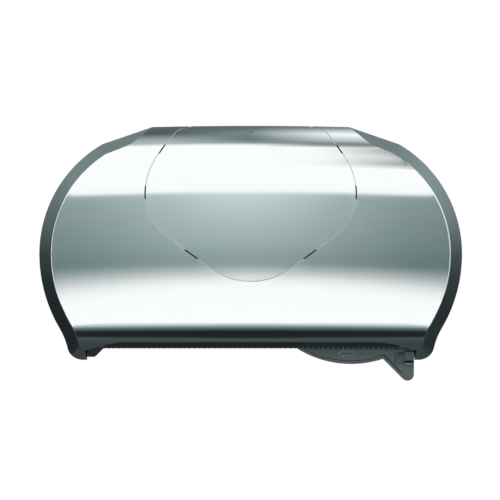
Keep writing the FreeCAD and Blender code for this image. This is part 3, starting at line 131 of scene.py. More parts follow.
floor_size, floor_height = 9, -1.25
bpy.ops.object.select_all(action="DESELECT")
bpy.ops.mesh.primitive_plane_add(size=floor_size, location=(0, 0, floor_height))
floor = bpy.context.object
floor.name = "studio_floor"
bpy.ops.object.transform_apply(location=True)
floor_material, shader = plain_material("pale_floor")
shader.inputs["Base Color"].default_value = (0.86, 0.87, 0.87, 1)
shader.inputs["Roughness"].default_value = 0.8
tree = floor_material.node_tree
path = tree.nodes.new("ShaderNodeLightPath")
mirrored = tree.nodes.new("ShaderNodeEmission")
mirrored.inputs["Color"].default_value = WHITE
either = tree.nodes.new("ShaderNodeMixShader")
tree.links.new(path.outputs["Is Glossy Ray"], either.inputs["Fac"])
tree.links.new(shader.outputs[0], either.inputs[1])
tree.links.new(mirrored.outputs[0], either.inputs[2])
tree.links.new(either.outputs[0], tree.nodes["Material Output"].inputs["Surface"])
floor.data.materials.append(floor_material)
print("floor:", floor.name)

# %% [markdown]
# ## Reflection cards
# Cards shape the reflections in the cover, as a photographer's flags do. Real cards would also shade
# the object, so these glow with their own tone and only reflections see them. A tone may change
# along a card. That could be painted on it, but a ramp over the distance along the card is exact and
# has no pixels.

# %% Glowing card material
def card_material(name):
    """A glowing material, its node tree and the socket that takes its tone."""
    material = bpy.data.materials.new(name)
    material.use_nodes = True
    tree = material.node_tree
    tree.nodes.clear()
    glow = tree.nodes.new("ShaderNodeEmission")
    surface = tree.nodes.new("ShaderNodeOutputMaterial")
    tree.links.new(glow.outputs[0], surface.inputs["Surface"])
    place = tree.nodes.new("ShaderNodeTexCoord")
    split = tree.nodes.new("ShaderNodeSeparateXYZ")
    tree.links.new(place.outputs["Object"], split.inputs[0])
    return material, tree, glow.inputs["Color"]


def put(tree, value, socket):
    """Gives a socket a constant or another node's output."""
    if hasattr(value, "links"):
        tree.links.new(value, socket)
    else:
        socket.default_value = value


print("ready: glowing card material")

# %% Distance along a card
def bowed(tree, value, bow):
    """A value that falls away to both sides of a card."""
    across = tree.nodes["Separate XYZ"].outputs["X"]
    square = tree.nodes.new("ShaderNodeMath")
    square.operation = "MULTIPLY"
    tree.links.new(across, square.inputs[0])
    tree.links.new(across, square.inputs[1])
    bent = tree.nodes.new("ShaderNodeMath")
    bent.operation = "MULTIPLY_ADD"
    tree.links.new(square.outputs[0], bent.inputs[0])
    bent.inputs[1].default_value = -bow
    put(tree, value, bent.inputs[2])
    return bent.outputs[0]


def measured(tree, axis, low, high, bow=0):
    """0 to 1 from low to high along an axis of a card, on straight or bowed lines."""
    span = tree.nodes.new("ShaderNodeMapRange")
    put(tree, low, span.inputs["From Min"])
    put(tree, high, span.inputs["From Max"])
    along = tree.nodes["Separate XYZ"].outputs[axis]
    tree.links.new(bowed(tree, along, bow), span.inputs["Value"])
    return span.outputs[0]


print("ready: distance along a card")

# %% Tones along a distance
def ramp_node(tree, source, stops):
    """Colours along a 0 to 1 value, each stop a place and a colour."""
    ramp = tree.nodes.new("ShaderNodeValToRGB")
    band = ramp.color_ramp
    while len(band.elements) < len(stops):
        band.elements.new(0.5)
    for element, (place, colour) in zip(band.elements, stops):
        element.position = place
        element.color = (*colour, 1)
    tree.links.new(source, ramp.inputs[0])
    return ramp.outputs[0]


def greys(*stops):
    """Stops with one grey value each."""
    return [(place, (tone, tone, tone)) for place, tone in stops]


def mixed(tree, kind, share, first, second):
    """Blends two colours, each a constant or another node's output."""
    blend = tree.nodes.new("ShaderNodeMix")
    blend.data_type = "RGBA"
    blend.blend_type = kind
    for place, value in ((0, share), (6, first), (7, second)):
        put(tree, value, blend.inputs[place])
    return blend.outputs[2]


print("ready: tones along a distance")

# %% Flat cards
UPRIGHT, SIDEWAYS, LYING = (math.pi / 2, 0, 0), (0, math.pi / 2, 0), (0, 0, 0)


def add_card(name, turn, low, high):
    """A flat card between two corners."""
    bpy.ops.object.select_all(action="DESELECT")
    bpy.ops.mesh.primitive_plane_add(size=1, rotation=turn)
    card = bpy.context.object
    card.name = name
    bpy.ops.object.transform_apply(rotation=True)
    card.scale = [end - start if end > start else 1 for start, end in zip(low, high)]
    card.location = [(start + end) / 2 for start, end in zip(low, high)]
    bpy.ops.object.transform_apply(location=True, scale=True)
    return card


def only_reflected(card, material):
    """Dresses a card and hides it from all but reflections."""
    card.data.materials.append(material)
    card.visible_camera = False
    card.visible_diffuse = False
    card.visible_shadow = False
    print("card:", card.name)


print("ready: flat cards")

# %% [markdown]
# ## The grey belt
# A soft grey belt runs across the cover's face. It is the reflection of something large and grey
# behind the camera. The belt could be tinted into the cover, but then it would stay put when the view
# turns, so a grey card stands there. Its upper edge is crisp and a little bowed, its foot fades out,
# and it darkens to both sides.

# %% Grey card behind the camera
card_half = 1.5
grey_y, grey_half, grey_low, grey_high = -9.0, 4.5, -2.6, 4.6
belt_low, belt_high, belt_bow = -1.9, 3.7, 0.2
fade_low, fade_high, fade_bow = -1.476, -0.315, 5.1
card = add_card(
    "grey_card", UPRIGHT, (-grey_half, grey_y, grey_low), (grey_half, grey_y, grey_high))
glowing, tree, glow = card_material("grey_card_glow")
height = measured(tree, "Z", belt_low, belt_high, belt_bow)
rise = ramp_node(tree, height, [
    (0.32, (0.28, 0.358, 0.358)), (0.51, (0.385, 0.467, 0.467)), (0.70, (0.473, 0.555, 0.555)),
    (0.91, (0.583, 0.66, 0.66)), (1.0, (0.627, 0.704, 0.704)),
])
sides = ramp_node(tree, measured(tree, "X", -card_half, card_half), [
    (0.3, (0.43, 0.48, 0.48)), (0.367, (0.57, 0.63, 0.63)), (0.45, (0.92, 0.94, 0.94)),
    (0.51, (1.0, 1.0, 1.0)), (0.633, (0.466, 0.525, 0.525)), (0.7, (0.37, 0.42, 0.42)),
])
grey = mixed(tree, "MULTIPLY", 1.0, rise, sides)
belt_top = ramp_node(tree, height, greys((0.979, 1), (0.990, 0)))
fade = measured(tree, "Z", bowed(tree, fade_low, fade_bow), fade_high)
belt_foot = ramp_node(tree, fade, greys(
    (0.0, 0), (0.1, 0.05), (0.33, 0.21), (0.58, 0.55), (0.83, 0.84), (1.0, 1)))
belt = mixed(tree, "MULTIPLY", 1.0, belt_top, belt_foot)
tree.links.new(mixed(tree, "MIX", belt, WHITE, grey), glow)
only_reflected(card, glowing)

# %% [markdown]
# ## The dark rim
# The rim of the cover leans back, so it mirrors what stands behind the object: dark low down and
# grey higher up, a little darker on the left. A darker finish on the rim would look much the same
# from the front, but the rim and the face are one skin, so a card behind the object does it.

# %% Grey card behind the object
back_y, back_half, back_low, back_high = 2.0, 3.0, -0.9, 6.4
rim_high, upper_share = 1.7, (0.95, 0.95, 0.95, 1)
card = add_card(
    "back_card", UPRIGHT, (-back_half, back_y, back_low), (back_half, back_y, back_high))
glowing, tree, glow = card_material("back_card_glow")
height = measured(tree, "Z", back_low, rim_high)
rise = ramp_node(tree, height, [
    (0.21, (0.0255, 0.0344, 0.0355)), (0.254, (0.02, 0.0266, 0.0278)),
    (0.306, (0.03, 0.041, 0.042)), (0.351, (0.06, 0.081, 0.083)),
    (0.415, (0.161, 0.213, 0.213)), (0.488, (0.228, 0.3, 0.3)),
    (0.546, (0.167, 0.222, 0.222)), (0.708, (0.161, 0.216, 0.219)),
    (1.0, (0.222, 0.289, 0.289)),
])
across = measured(tree, "X", -card_half, card_half)
lean = ramp_node(tree, across, greys((0.4, 0.64), (0.5, 0.9), (0.6, 1.0)))
upper = ramp_node(tree, height, greys((0.42, 0), (0.56, 1)))
even = mixed(tree, "MIX", upper, lean, upper_share)
rim_grey = mixed(tree, "MULTIPLY", 1.0, rise, even)
print("rim tones up to", rim_high, "m")

# %% [markdown]
# ## The sloping top
# The top of the cover mirrors the upper part of the same card. On the left it is dark at the back
# and pale towards the face, on the right a bright patch ends in a dark edge. Two cards could overlap
# there, but one card has no seam, so three sets of tones blend across it.

# %% Upper part of the card
top_low, top_half = 0.9, 0.15
seam_low, seam_high = top_low - 0.12, top_low - 0.04
high_up = measured(tree, "Z", top_low, back_high)
top_left = ramp_node(tree, high_up, [
    (0.02, (0.1, 0.13, 0.13)), (0.06, (0.07, 0.09, 0.09)), (0.12, (0.36, 0.42, 0.42)),
    (0.25, (0.65, 0.7, 0.7)), (0.5, (1.0, 1.0, 1.0)),
])
top_middle = ramp_node(tree, high_up, [
    (0.02, (0.11, 0.15, 0.15)), (0.06, (0.2, 0.26, 0.26)), (0.12, (0.13, 0.17, 0.17)),
    (0.25, (0.5, 0.58, 0.58)), (0.5, (1.0, 1.0, 1.0)),
])
top_right = ramp_node(tree, high_up, [
    (0.01, (0.16, 0.2, 0.2)), (0.065, (0.97, 1.0, 1.0)), (0.16, (0.19, 0.25, 0.25)),
    (0.35, (0.26, 0.3, 0.3)), (0.9, (1.0, 1.0, 1.0)),
])
top_grey = mixed(tree, "MIX", measured(tree, "X", -top_half, 0.0), top_left, top_middle)
top_grey = mixed(tree, "MIX", measured(tree, "X", 0.0, top_half), top_grey, top_right)
above = measured(tree, "Z", seam_low, seam_high)
tree.links.new(mixed(tree, "MIX", above, rim_grey, top_grey), glow)
only_reflected(card, glowing)

# %% [markdown]
# ## The haze
# Where the face rolls into the top, a faint grey haze lies on the right. The roll mirrors what hangs
# overhead. A smear in the finish could stand for it, but a real haze moves with the view, so a card
# hangs there and grows darker to the right.

# %% Haze card overhead
over_left, over_right, over_front, over_back, over_height = 0.1, 2.5, -7.4, 2.5, 5.0
haze_start, haze_full = 0.22, 0.58
card = add_card(
    "over_card", LYING,
    (over_left, over_front, over_height), (over_right, over_back, over_height))
glowing, tree, glow = card_material("over_card_glow")
haze = ramp_node(tree, measured(tree, "Y", over_front, over_back), [
    (0.0, (1.0, 1.0, 1.0)), (0.14, (0.5, 0.54, 0.54)), (0.32, (0.15, 0.18, 0.18)),
    (0.58, (0.4, 0.44, 0.44)), (0.78, (0.02, 0.03, 0.03)),
])
share = measured(tree, "X", haze_start, haze_full)
tree.links.new(mixed(tree, "MIX", share, WHITE, haze), glow)
only_reflected(card, glowing)

# %% [markdown]
# ## The lines beside the rim
# Where the face rounds into the rim it mirrors the two sides of the studio: dark on the left and
# pale on the right. A drawn line would do from the front only. The cards turn to a middle grey
# further forward, so that the face isn't black when it is seen from the side.

# %% Cards at the sides
side_x, side_front, side_back, side_low, side_high = 1.3, -1.5, 1.2, -0.6, 1.0
forward_grey = (0.5, 0.57, 0.57, 1)
left_tones = [
    (0.5, (0.02, 0.027, 0.027)), (0.85, (0.05, 0.067, 0.067)), (1.0, (1.0, 1.0, 1.0))]
right_tones = [
    (0.1, (0.05, 0.067, 0.067)), (0.36, (0.3, 0.37, 0.37)), (0.7, (1.0, 1.0, 1.0))]
for name, x, tones in (("left_card", -side_x, left_tones), ("right_card", side_x, right_tones)):
    card = add_card(name, SIDEWAYS, (x, side_front, side_low), (x, side_back, side_high))
    glowing, tree, glow = card_material(name + "_glow")
    rise = ramp_node(tree, measured(tree, "Z", side_low, side_high), tones)
    along = measured(tree, "Y", side_front, side_back)
    forward = ramp_node(tree, along, greys((0.3, 1), (0.5, 0)))
    tree.links.new(mixed(tree, "MIX", forward, rise, forward_grey), glow)
    only_reflected(card, glowing)

# %% [markdown]
# ## The dark lip
# The lower edge of the cover rolls in under the face and mirrors what lies below: near black, with a
# slightly paler bead. The floor could be dark instead, but then all of the picture would be, so a
# card lies under the object. Its lines are bowed, because the lip is.

# %% Dark card below
below_half, below_front, below_back, below_height = 1.2, -1.0, 3.0, -0.45
lip_front, lip_back, lip_bow = -1, 1, -3.1
card = add_card(
    "dark_card", LYING,
    (-below_half, below_front, below_height), (below_half, below_back, below_height))
glowing, tree, glow = card_material("dark_card_glow")
lip_grey = ramp_node(tree, measured(tree, "Y", lip_front, lip_back, lip_bow), [
    (0.08, (1.0, 1.0, 1.0)), (0.135, (0.5, 0.58, 0.58)), (0.2, (0.12, 0.165, 0.165)),
    (0.265, (0.014, 0.018, 0.018)), (0.335, (0.014, 0.018, 0.018)), (0.362, (0.06, 0.08, 0.082)),
    (0.41, (0.042, 0.056, 0.057)), (1.0, (0.04, 0.052, 0.053)),
])
tree.links.new(lip_grey, glow)
only_reflected(card, glowing)

# %% [markdown]
# ## Soft lamps
# Two large lamps light the plastic: a key from the upper left and a weaker fill from the right. Small
# lamps would draw hard shadows under the door. Both stay out of the reflections, because the cards
# already draw those.

# %% Soft lamps
object_middle = Vector((0, -0.06, 0))


def soft_lamp(name, place, size, watts):
    """A large lamp that looks at the middle of the object."""
    bpy.ops.object.select_all(action="DESELECT")
    bpy.ops.object.light_add(type="AREA", location=place)
    lamp = bpy.context.object
    lamp.name = name
    lamp.data.shape = "RECTANGLE"
    lamp.data.size, lamp.data.size_y = size
    lamp.data.energy = watts
    lamp.rotation_euler = (object_middle - Vector(place)).to_track_quat("-Z", "Y").to_euler()
    lamp.visible_glossy = False
    return lamp


key = soft_lamp("key_lamp", place=(-1.2, -2.2, 2.0), size=(1.4, 1.0), watts=28)
fill = soft_lamp("fill_lamp", place=(1.6, -2.4, 0.8), size=(1.2, 1.2), watts=4)
print("lamps:", key.name, fill.name)

# %% [markdown]
# ## Finish helpers
# No real surface is one even colour. Here one stretched or round noise drives three things at once:
# a slow change between two close tones, a change of roughness, and a fine relief. Painted pictures
# could do the same, but noise needs no unwrapping and never shows a seam.

# %% Noise that makes a finish
ROUND, DRAWN_OUT = (1, 1, 1), (1, 8, 8)
relief_depth = 0.0003


def finish(name, dark, light, rough, grain, relief, stretch=ROUND, metallic=0):
    """A procedural material: tones, roughness and relief from one noise in object coordinates."""
    material, shader = plain_material(name)
    tree = material.node_tree
    shader.inputs["Metallic"].default_value = metallic
    place = tree.nodes.new("ShaderNodeTexCoord")
    turn = tree.nodes.new("ShaderNodeMapping")
    turn.inputs["Scale"].default_value = stretch
    noise = tree.nodes.new("ShaderNodeTexNoise")
    noise.inputs["Scale"].default_value = grain
    noise.inputs["Detail"].default_value = 4
    tree.links.new(place.outputs["Object"], turn.inputs["Vector"])
    tree.links.new(turn.outputs[0], noise.inputs["Vector"])
    cloud = noise.outputs["Fac"]
    tones = ramp_node(tree, cloud, [(0.3, dark), (0.7, light)])
    tree.links.new(tones, shader.inputs["Base Color"])
    spread = tree.nodes.new("ShaderNodeMapRange")
    spread.inputs["To Min"].default_value, spread.inputs["To Max"].default_value = rough
    tree.links.new(cloud, spread.inputs["Value"])
    tree.links.new(spread.outputs[0], shader.inputs["Roughness"])
    bump = tree.nodes.new("ShaderNodeBump")
    bump.inputs["Strength"].default_value = relief
    bump.inputs["Distance"].default_value = relief_depth
    tree.links.new(cloud, bump.inputs["Height"])
    tree.links.new(bump.outputs[0], shader.inputs["Normal"])
    print("finish:", name)
    return material


def wear(material, *names):
    """Gives the named solids a finish."""
    for name in names:
        slots = nodes[name].data.materials
        slots.clear()
        slots.append(material)


print("ready: finishes")

# %% [markdown]
# ## Moulded and rubber pieces
# The chassis, door, hubs and washers are injection-moulded, so they carry the fine even texture of a
# spark-eroded mould. A round, small noise gives it. The stops are dull rubber. A single plastic for
# all would be simpler, but the pieces were moulded apart and their greys differ a little.

# %% Plastics and rubber
mould_grain = 900
chassis_plastic = finish(
    "chassis_plastic", (0.016, 0.022, 0.023), (0.025, 0.032, 0.033),
    rough=(0.42, 0.58), grain=mould_grain, relief=0.12)
door_plastic = finish(
    "door_plastic", (0.086, 0.116, 0.118), (0.107, 0.141, 0.144),
    rough=(0.30, 0.46), grain=mould_grain, relief=0.10)
hub_plastic = finish(
    "hub_plastic", (0.24, 0.255, 0.255), (0.29, 0.305, 0.305),
    rough=(0.40, 0.55), grain=mould_grain, relief=0.12)
pale_plastic = finish(
    "pale_plastic", (0.50, 0.50, 0.47), (0.58, 0.58, 0.55),
    rough=(0.40, 0.55), grain=mould_grain, relief=0.12)
stop_rubber = finish(
    "stop_rubber", (0.012, 0.012, 0.012), (0.020, 0.020, 0.020),
    rough=(0.70, 0.85), grain=700, relief=0.2)
wear(chassis_plastic, "back_plate", "left_cheek", "right_cheek")
wear(door_plastic, "track_rail", "roll_door", "door_latch", "door_runners")
wear(hub_plastic, "left_hub", "right_hub", "left_hub_flange", "right_hub_flange")
wear(pale_plastic,
     "left_thrust_washer", "right_thrust_washer", "left_axle_cap", "right_axle_cap")
wear(stop_rubber, "door_bumpers")

# %% [markdown]
# ## Bare metal pieces
# The strike, pins and axles are rolled steel, so their grain is drawn out along one axis. The tear
# bar is given a near black tone, because in the picture it is as dark as the lip above it. The screws
# are zinc-plated and blotchy, and the lock is plated bright. Stretching the noise is enough for the
# rolled grain, and cheaper than thousands of modelled scratches.

# %% Metals
strip_steel = finish(
    "strip_steel", (0.50, 0.52, 0.52), (0.60, 0.62, 0.62),
    rough=(0.25, 0.40), grain=200, relief=0.05, stretch=DRAWN_OUT, metallic=1)
zinc_plate = finish(
    "zinc_plate", (0.50, 0.52, 0.53), (0.62, 0.63, 0.63),
    rough=(0.30, 0.45), grain=500, relief=0.08, metallic=1)
lock_chrome = finish(
    "lock_chrome", (0.70, 0.70, 0.71), (0.78, 0.78, 0.79),
    rough=(0.10, 0.20), grain=80, relief=0.02, metallic=1)
tear_bar_near_black = finish(
    "tear_bar_near_black", (0.003, 0.009, 0.009), (0.007, 0.016, 0.016),
    rough=(0.34, 0.50), grain=200, relief=0.06, stretch=DRAWN_OUT)
wear(strip_steel, "lock_strike", "left_hinge_pin", "right_hinge_pin", "left_axle", "right_axle")
wear(tear_bar_near_black, "tear_bar", "tear_bar_rivets")
wear(zinc_plate, "rail_screws", "cheek_screws", "strike_screws", "cam_screw")
wear(lock_chrome, "lock_body", "lock_nut", "lock_plug", "lock_cam")

# %% [markdown]
# ## The bright cover
# The cover is one thin shell. Its solid arrives as loose triangles with smooth normals of their own.
# It could stay as it is, but its zones need finishes of their own, so a copy is taken and its
# triangles are joined. Joining forgets the smooth normals, and each corner takes them back from the
# solid. The real top bulges a little where the solid is flat, so its normals lean further forward
# towards the face. That softens the shine and leaves the shape alone.

# %% A joined copy of a solid
weld = 0.000005


def joined_copy(node, name, body):
    """A copy of a solid with its loose triangles joined, which stands for the solid."""
    bpy.ops.object.select_all(action="DESELECT")
    piece = bpy.data.objects.new(name, nodes[node].data.copy())
    scene.collection.objects.link(piece)
    piece.select_set(True)
    bpy.context.view_layer.objects.active = piece
    bpy.ops.object.mode_set(mode="EDIT")
    bpy.ops.mesh.select_all(action="SELECT")
    bpy.ops.mesh.remove_doubles(threshold=weld)
    bpy.ops.mesh.normals_make_consistent(inside=False)
    bpy.ops.object.mode_set(mode="OBJECT")
    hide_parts(node)
    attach(piece, body)
    return piece


cover = joined_copy("front_cover", "bright_shell", "cover")
print("cover faces:", len(cover.data.polygons))

# %% Smooth normals of the cover
top_edge, top_front, flat_lean, bulge = 0.13, -0.108, 0.187, 0.15
nearly_up, nearly_straight = 0.9, 0.05


def crowned(normal, place):
    """Leans a normal of the flat top further forward, the more so the nearer the face."""
    if normal.z < nearly_up or abs(normal.x) > nearly_straight or place.z < top_edge:
        return normal
    lean = flat_lean + bulge * place.y / top_front
    return Vector((normal.x, min(normal.y, -lean), normal.z)).normalized()


def match_normals(piece, solid):
    """Gives each corner of a joined copy the normal that it has on the solid."""
    source = solid.data
    centres = KDTree(len(source.polygons))
    for face in source.polygons:
        centres.insert(face.center, face.index)
    centres.balance()
    bpy.ops.object.shade_smooth()
    normals = [Vector((0, 0, 0))] * len(piece.data.loops)
    for face in piece.data.polygons:
        twin = source.polygons[centres.find(face.center)[1]]
        places = [(source.vertices[source.loops[n].vertex_index].co, n) for n in twin.loop_indices]
        for corner in face.loop_indices:
            spot = piece.data.vertices[piece.data.loops[corner].vertex_index].co
            nearest = min(places, key=lambda place: (place[0] - spot).length)[1]
            normals[corner] = crowned(source.corner_normals[nearest].vector.copy(), spot)
    piece.data.normals_split_custom_set(normals)
    print("normals matched:", len(normals))


match_normals(cover, nodes["front_cover"])

# %% [markdown]
# ## The cover's finishes
# The skin is bright metal and the inside is bare dark plastic. The fine line scored into the face is
# a dull pale grey, a painted sheen for the bright reflection in its groove, and its short slits are
# near black, a painted shade. Paint on the finished shape could do this too, but the zones are faces
# of their own, so each face gets the finish of its zone.

# %% Finishes of the cover
polished = finish(
    "polished_skin", (0.955, 0.98, 0.98), (0.97, 0.99, 0.99),
    rough=(0.06, 0.09), grain=40, relief=0.006, stretch=(0.5, 3, 3), metallic=1)
dull = finish(
    "dull_inside", (0.040, 0.048, 0.049), (0.056, 0.065, 0.066),
    rough=(0.42, 0.58), grain=700, relief=0.1)
# Painted sheen: the pale grey of the scored line stands in for the bright reflection in its groove.
line_painted_sheen = finish(
    "line_painted_sheen", (0.60, 0.64, 0.64), (0.68, 0.72, 0.72),
    rough=(0.4, 0.6), grain=600, relief=0.1)
# Painted shade: near black for the shade deep inside the short slits.
slit_painted_shade = finish(
    "slit_painted_shade", (0.006, 0.007, 0.007), (0.010, 0.012, 0.012),
    rough=(0.6, 0.8), grain=600, relief=0.1)
cover.data.materials.clear()
for material in (polished, dull, line_painted_sheen, slit_painted_shade):
    cover.data.materials.append(material)

# %% [markdown]
# ## The cover's zones
# Thousands of faces could be picked by hand, but a rule does it at once. A face is inside if it looks
# at the wall, at another part of the shell or into the arch between the feet. It is in the line if
# the skin is very near in front of it, or if its neighbours stand higher than it does.

# %% What a face sees
groove_reach, groove_depth, look_from = 0.0016, 0.0004, 0.004
arch_top, arch_turn = -0.095, 0.15
shell = BVHTree.FromPolygons(
    [vertex.co for vertex in cover.data.vertices],
    [face.vertices for face in cover.data.polygons])


def in_line(centre, normal):
    """True where the skin beside a face stands higher than the face."""
    aside = normal.orthogonal().normalized()
    higher = 0
    for turn in range(8):
        step = Quaternion(normal, turn * math.pi / 4) @ aside * groove_reach
        gap = shell.ray_cast(centre + step + normal * look_from, -normal, look_from * 2)[3]
        if gap is not None and look_from - gap > groove_depth:
            higher += 1
    return higher >= 4


def looks_into_arch(centre, normal):
    return centre.z < arch_top and normal.x * math.copysign(1, centre.x) < -arch_turn


print("shell ready for looking")

# %% Zones of the cover
SKIN, INSIDE, LINE, SLIT = range(4)
slit_heights = [(0.004, 0.0145), (0.072, 0.087), (0.124, 0.134)]
line_width, to_the_wall, lift = 0.0022, 0.3, 0.00002
counts = [0, 0, 0, 0]
for face in cover.data.polygons:
    centre, normal = face.center, face.normal
    ahead = shell.ray_cast(centre + normal * lift, normal, 1.0)[3]
    zone = SKIN
    if ahead is not None and ahead < line_width:
        zone = LINE
    elif normal.y > to_the_wall or ahead is not None or looks_into_arch(centre, normal):
        zone = INSIDE
    elif in_line(centre, normal):
        zone = LINE
    # Line faces take the painted sheen, and line faces in the slits take the painted shade.
    if zone == LINE and any(low < centre.z < high for low, high in slit_heights):
        zone = SLIT
    face.material_index = zone
    counts[zone] += 1
print("skin, inside, line, slit:", counts)

# %% [markdown]
# ## Softened plastic edges
# Moulded edges are never knife-sharp, and the thin glint along them tells the eye that a piece is
# plastic. The radius could be drawn into the solids, but it is far smaller than any working size, so
# a bevel on a joined copy does it. The bevel only takes material away, so nothing grows.

# %% A softened copy of a solid
flat_angle, edge_angle, smooth_angle = (math.radians(angle) for angle in (0.5, 40, 35))


def softened(node, name, body, material, width, prepare=None):
    """A joined copy with bevelled edges, shaped by prepare before the bevel."""
    piece = joined_copy(node, name, body)
    bpy.ops.object.mode_set(mode="EDIT")
    bpy.ops.mesh.select_all(action="SELECT")
    bpy.ops.mesh.dissolve_limited(angle_limit=flat_angle)
    bpy.ops.object.mode_set(mode="OBJECT")
    if prepare:
        prepare(piece)
    bpy.ops.object.modifier_add(type="BEVEL")
    edge = piece.modifiers[-1]
    edge.width = width
    edge.segments = 2
    edge.limit_method = "ANGLE"
    edge.angle_limit = edge_angle
    bpy.ops.object.modifier_apply(modifier=edge.name)
    bpy.ops.object.shade_smooth_by_angle(angle=smooth_angle)
    piece.data.materials.clear()
    piece.data.materials.append(material)
    print("softened:", name, len(piece.data.polygons), "faces")
    return piece


def edit_only(kind, items, wanted):
    """Goes to edit mode with only the wanted vertices, edges or faces selected."""
    bpy.ops.object.mode_set(mode="EDIT")
    bpy.ops.mesh.select_mode(type=kind)
    bpy.ops.mesh.select_all(action="DESELECT")
    bpy.ops.object.mode_set(mode="OBJECT")
    for item in items:
        item.select = wanted(item)
    bpy.ops.object.mode_set(mode="EDIT")


print("ready: softened copies")

# %% [markdown]
# ## The latch
# The latch sits in a window of the door's finger tab: a springy leaf with a rounded nose. White
# would shine through the gap round it, so the copy fills the window to a hair. A slot under the nose
# and a small one in the leaf are pressed in. A boolean could cut them, but four straight cuts and an
# extrusion leave cleaner faces. They come after the bevel, because short edges would shrink it.

# %% Shape of the latch
window_fill, window_centre = (1.0095, 1, 1.028), (0.1863, 0, -0.10925)
nose_slot, nose_slot_depth = ((0.1759, -0.1148), (0.1855, -0.1120)), 0.0026
leaf_slot, leaf_slot_depth = ((0.1682, -0.1045), (0.1744, -0.1032)), 0.0007
latch_edge, to_the_front = 0.0003, -0.1


def fill_window(piece):
    """Leaves a hair of the latch's gap, which would else shine through as a bright line."""
    bpy.ops.object.mode_set(mode="EDIT")
    bpy.ops.mesh.select_all(action="SELECT")
    bpy.ops.transform.resize(value=window_fill, center_override=window_centre)
    bpy.ops.object.mode_set(mode="OBJECT")


def within(place, low, high):
    return low[0] < place.x < high[0] and low[1] < place.z < high[1]


def press_in(piece, low, high, depth):
    """Presses a rectangle of a piece's front inwards, from one corner (x, z) to the other."""
    bpy.ops.object.mode_set(mode="EDIT")
    bpy.ops.mesh.select_mode(type="FACE")
    for axis, cut in ((0, low[0]), (0, high[0]), (2, low[1]), (2, high[1])):
        spot, across = [0, 0, 0], [0, 0, 0]
        spot[axis], across[axis] = cut, 1
        bpy.ops.mesh.select_all(action="SELECT")
        bpy.ops.mesh.bisect(plane_co=spot, plane_no=across)
    bpy.ops.object.mode_set(mode="OBJECT")
    edit_only("FACE", piece.data.polygons, lambda face: (
        within(face.center, low, high) and face.normal.y < to_the_front))
    bpy.ops.mesh.extrude_region_move(TRANSFORM_OT_translate={"value": (0, depth, 0)})
    bpy.ops.object.mode_set(mode="OBJECT")


latch = softened(
    "door_latch", "soft_latch", "latch", door_plastic, latch_edge, fill_window)
press_in(latch, *nose_slot, nose_slot_depth)
press_in(latch, *leaf_slot, leaf_slot_depth)
bpy.ops.object.shade_smooth_by_angle(angle=smooth_angle)
print("latch faces:", len(latch.data.polygons))

# %% [markdown]
# ## Painted shade and painted glint on plastic
# Deep corners of the door and latch are painted near black as shade, and raised edges are painted
# paler as a glint. A paint layer could hold both, but they end at edges of the shape, so whole faces
# take the tone. On the latch the slots take the painted shade and the ledge under the nose the
# painted glint.

# %% Tones of the latch
PLAIN, SHADED, PAINTED_GLINT = range(3)
level = 0.00006
nose_front, leaf_front, ledge_depth = -0.1124, -0.1081, 0.0004
# Painted shade: near black faces stand for the shade along the door's border and in the latch's
# slots.
corner_shade = finish(
    "corner_shade", (0.005, 0.007, 0.007), (0.009, 0.011, 0.011),
    rough=(0.5, 0.65), grain=700, relief=0.1)
# Painted glint: a paler tone on the arrow's raised outline and on the ledge under the latch's nose.
painted_glint = finish(
    "painted_glint_plastic", (0.20, 0.225, 0.226), (0.25, 0.275, 0.276),
    rough=(0.26, 0.4), grain=700, relief=0.06)


def tone_faces(piece, tone_of):
    """Adds the painted shade and the painted glint tone to a piece and gives each face its own."""
    piece.data.materials.append(corner_shade)
    piece.data.materials.append(painted_glint)
    tones = [0, 0, 0]
    for face in piece.data.polygons:
        face.material_index = tone_of(face)
        tones[face.material_index] += 1
    print(piece.name, "plain, shaded, rubbed:", tones)


def latch_tone(face):
    place = face.center
    # The ledge under the nose takes the painted glint.
    if place.z < nose_slot[0][1] and place.y < nose_front + ledge_depth:
        return PAINTED_GLINT
    # The slots take the painted shade.
    for slot, front in ((nose_slot, nose_front), (leaf_slot, leaf_front)):
        if within(place, *slot) and place.y > front + level and face.normal.y < 0.5:
            return SHADED
    return PLAIN


tone_faces(latch, latch_tone)

# %% [markdown]
# ## Cheeks and rail
# The cheeks carry the rail in which the door runs, and a dark ground shows between the teeth in front
# of it. A strip could be laid behind the teeth, but the rail is there already, so its front wall is
# drawn down almost to their tips. A little of each tip stays free, where the door's arrow passes.

# %% Cheeks and rail
cheek_edge, rail_edge = 0.0004, 0.0003
wall_thick, bare_tips, at_the_foot = 0.0026, 0.0004, 0.0001


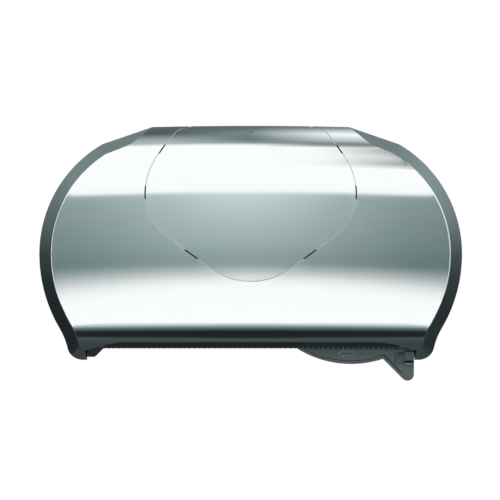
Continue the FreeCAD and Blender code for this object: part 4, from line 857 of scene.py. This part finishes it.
def back_the_teeth(piece):
    """Draws the rail's front wall down almost to the tips of the teeth, as a ground behind them."""
    front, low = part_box("track_rail")[0][1:]
    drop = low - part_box("tear_bar")[0][2] - bare_tips
    edit_only("VERT", piece.data.vertices, lambda vertex: (
        vertex.co.y < front + wall_thick and vertex.co.z < low + at_the_foot))
    bpy.ops.transform.translate(value=(0, 0, -drop))
    bpy.ops.object.mode_set(mode="OBJECT")
    print("rail wall lowered by", round(1000 * drop, 2), "mm")


softened("left_cheek", "soft_left_cheek", "chassis", chassis_plastic, cheek_edge)
softened("right_cheek", "soft_right_cheek", "chassis", chassis_plastic, cheek_edge)
softened("track_rail", "soft_rail", "chassis", door_plastic, rail_edge, back_the_teeth)

# %% [markdown]
# ## The door's border and arrow
# The door's face stands a little proud of its plate and rolls over at its border, and a dark line of
# painted shade runs along the lower edge in front of the paler rim. The arrow's raised outline is
# painted pale as a glint. A wire along the border would draw the line too, but it could come loose in
# a pose. Here the border edges are found by their distance from the roll's axis, bevelled round, and
# given the darker tone of painted shade.

# %% Shape of the door
face_y, door_edge, border_round = -0.1102, 0.00025, 0.0011
roll_x, border_reach = 0.1145, 0.1118
window_left, window_low, curl_left = 0.164, -0.1169, 0.1722


def on_border(place):
    on_tab = place.x > window_left and place.z > window_low or place.x > curl_left
    return math.hypot(place.x - roll_x, place.z) > border_reach and not on_tab


def roll_over_border(piece):
    """Rounds the lower edge of the door's raised face."""
    mesh = piece.data

    def is_border(edge):
        ends = [mesh.vertices[n].co for n in edge.vertices]
        flat = all(abs(end.y - face_y) < level for end in ends)
        return flat and on_border((ends[0] + ends[1]) / 2)

    edit_only("EDGE", mesh.edges, is_border)
    bpy.ops.mesh.bevel(offset=border_round, segments=3, clamp_overlap=False)
    bpy.ops.object.mode_set(mode="OBJECT")


door = softened(
    "roll_door", "soft_door", "door", door_plastic, door_edge, roll_over_border)

# %% Tones of the door
plate_y, arrow_y = -0.109, -0.1106


def door_tone(face):
    place, facing = face.center, face.normal.y
    # The arrow's raised outline takes the painted glint.
    if facing < -0.999 and abs(place.y - arrow_y) < level:
        return PAINTED_GLINT
    # The border's roll-over takes the painted shade.
    if facing > -0.99 and face_y < place.y < plate_y - level and on_border(place):
        return SHADED
    return PLAIN


tone_faces(door, door_tone)
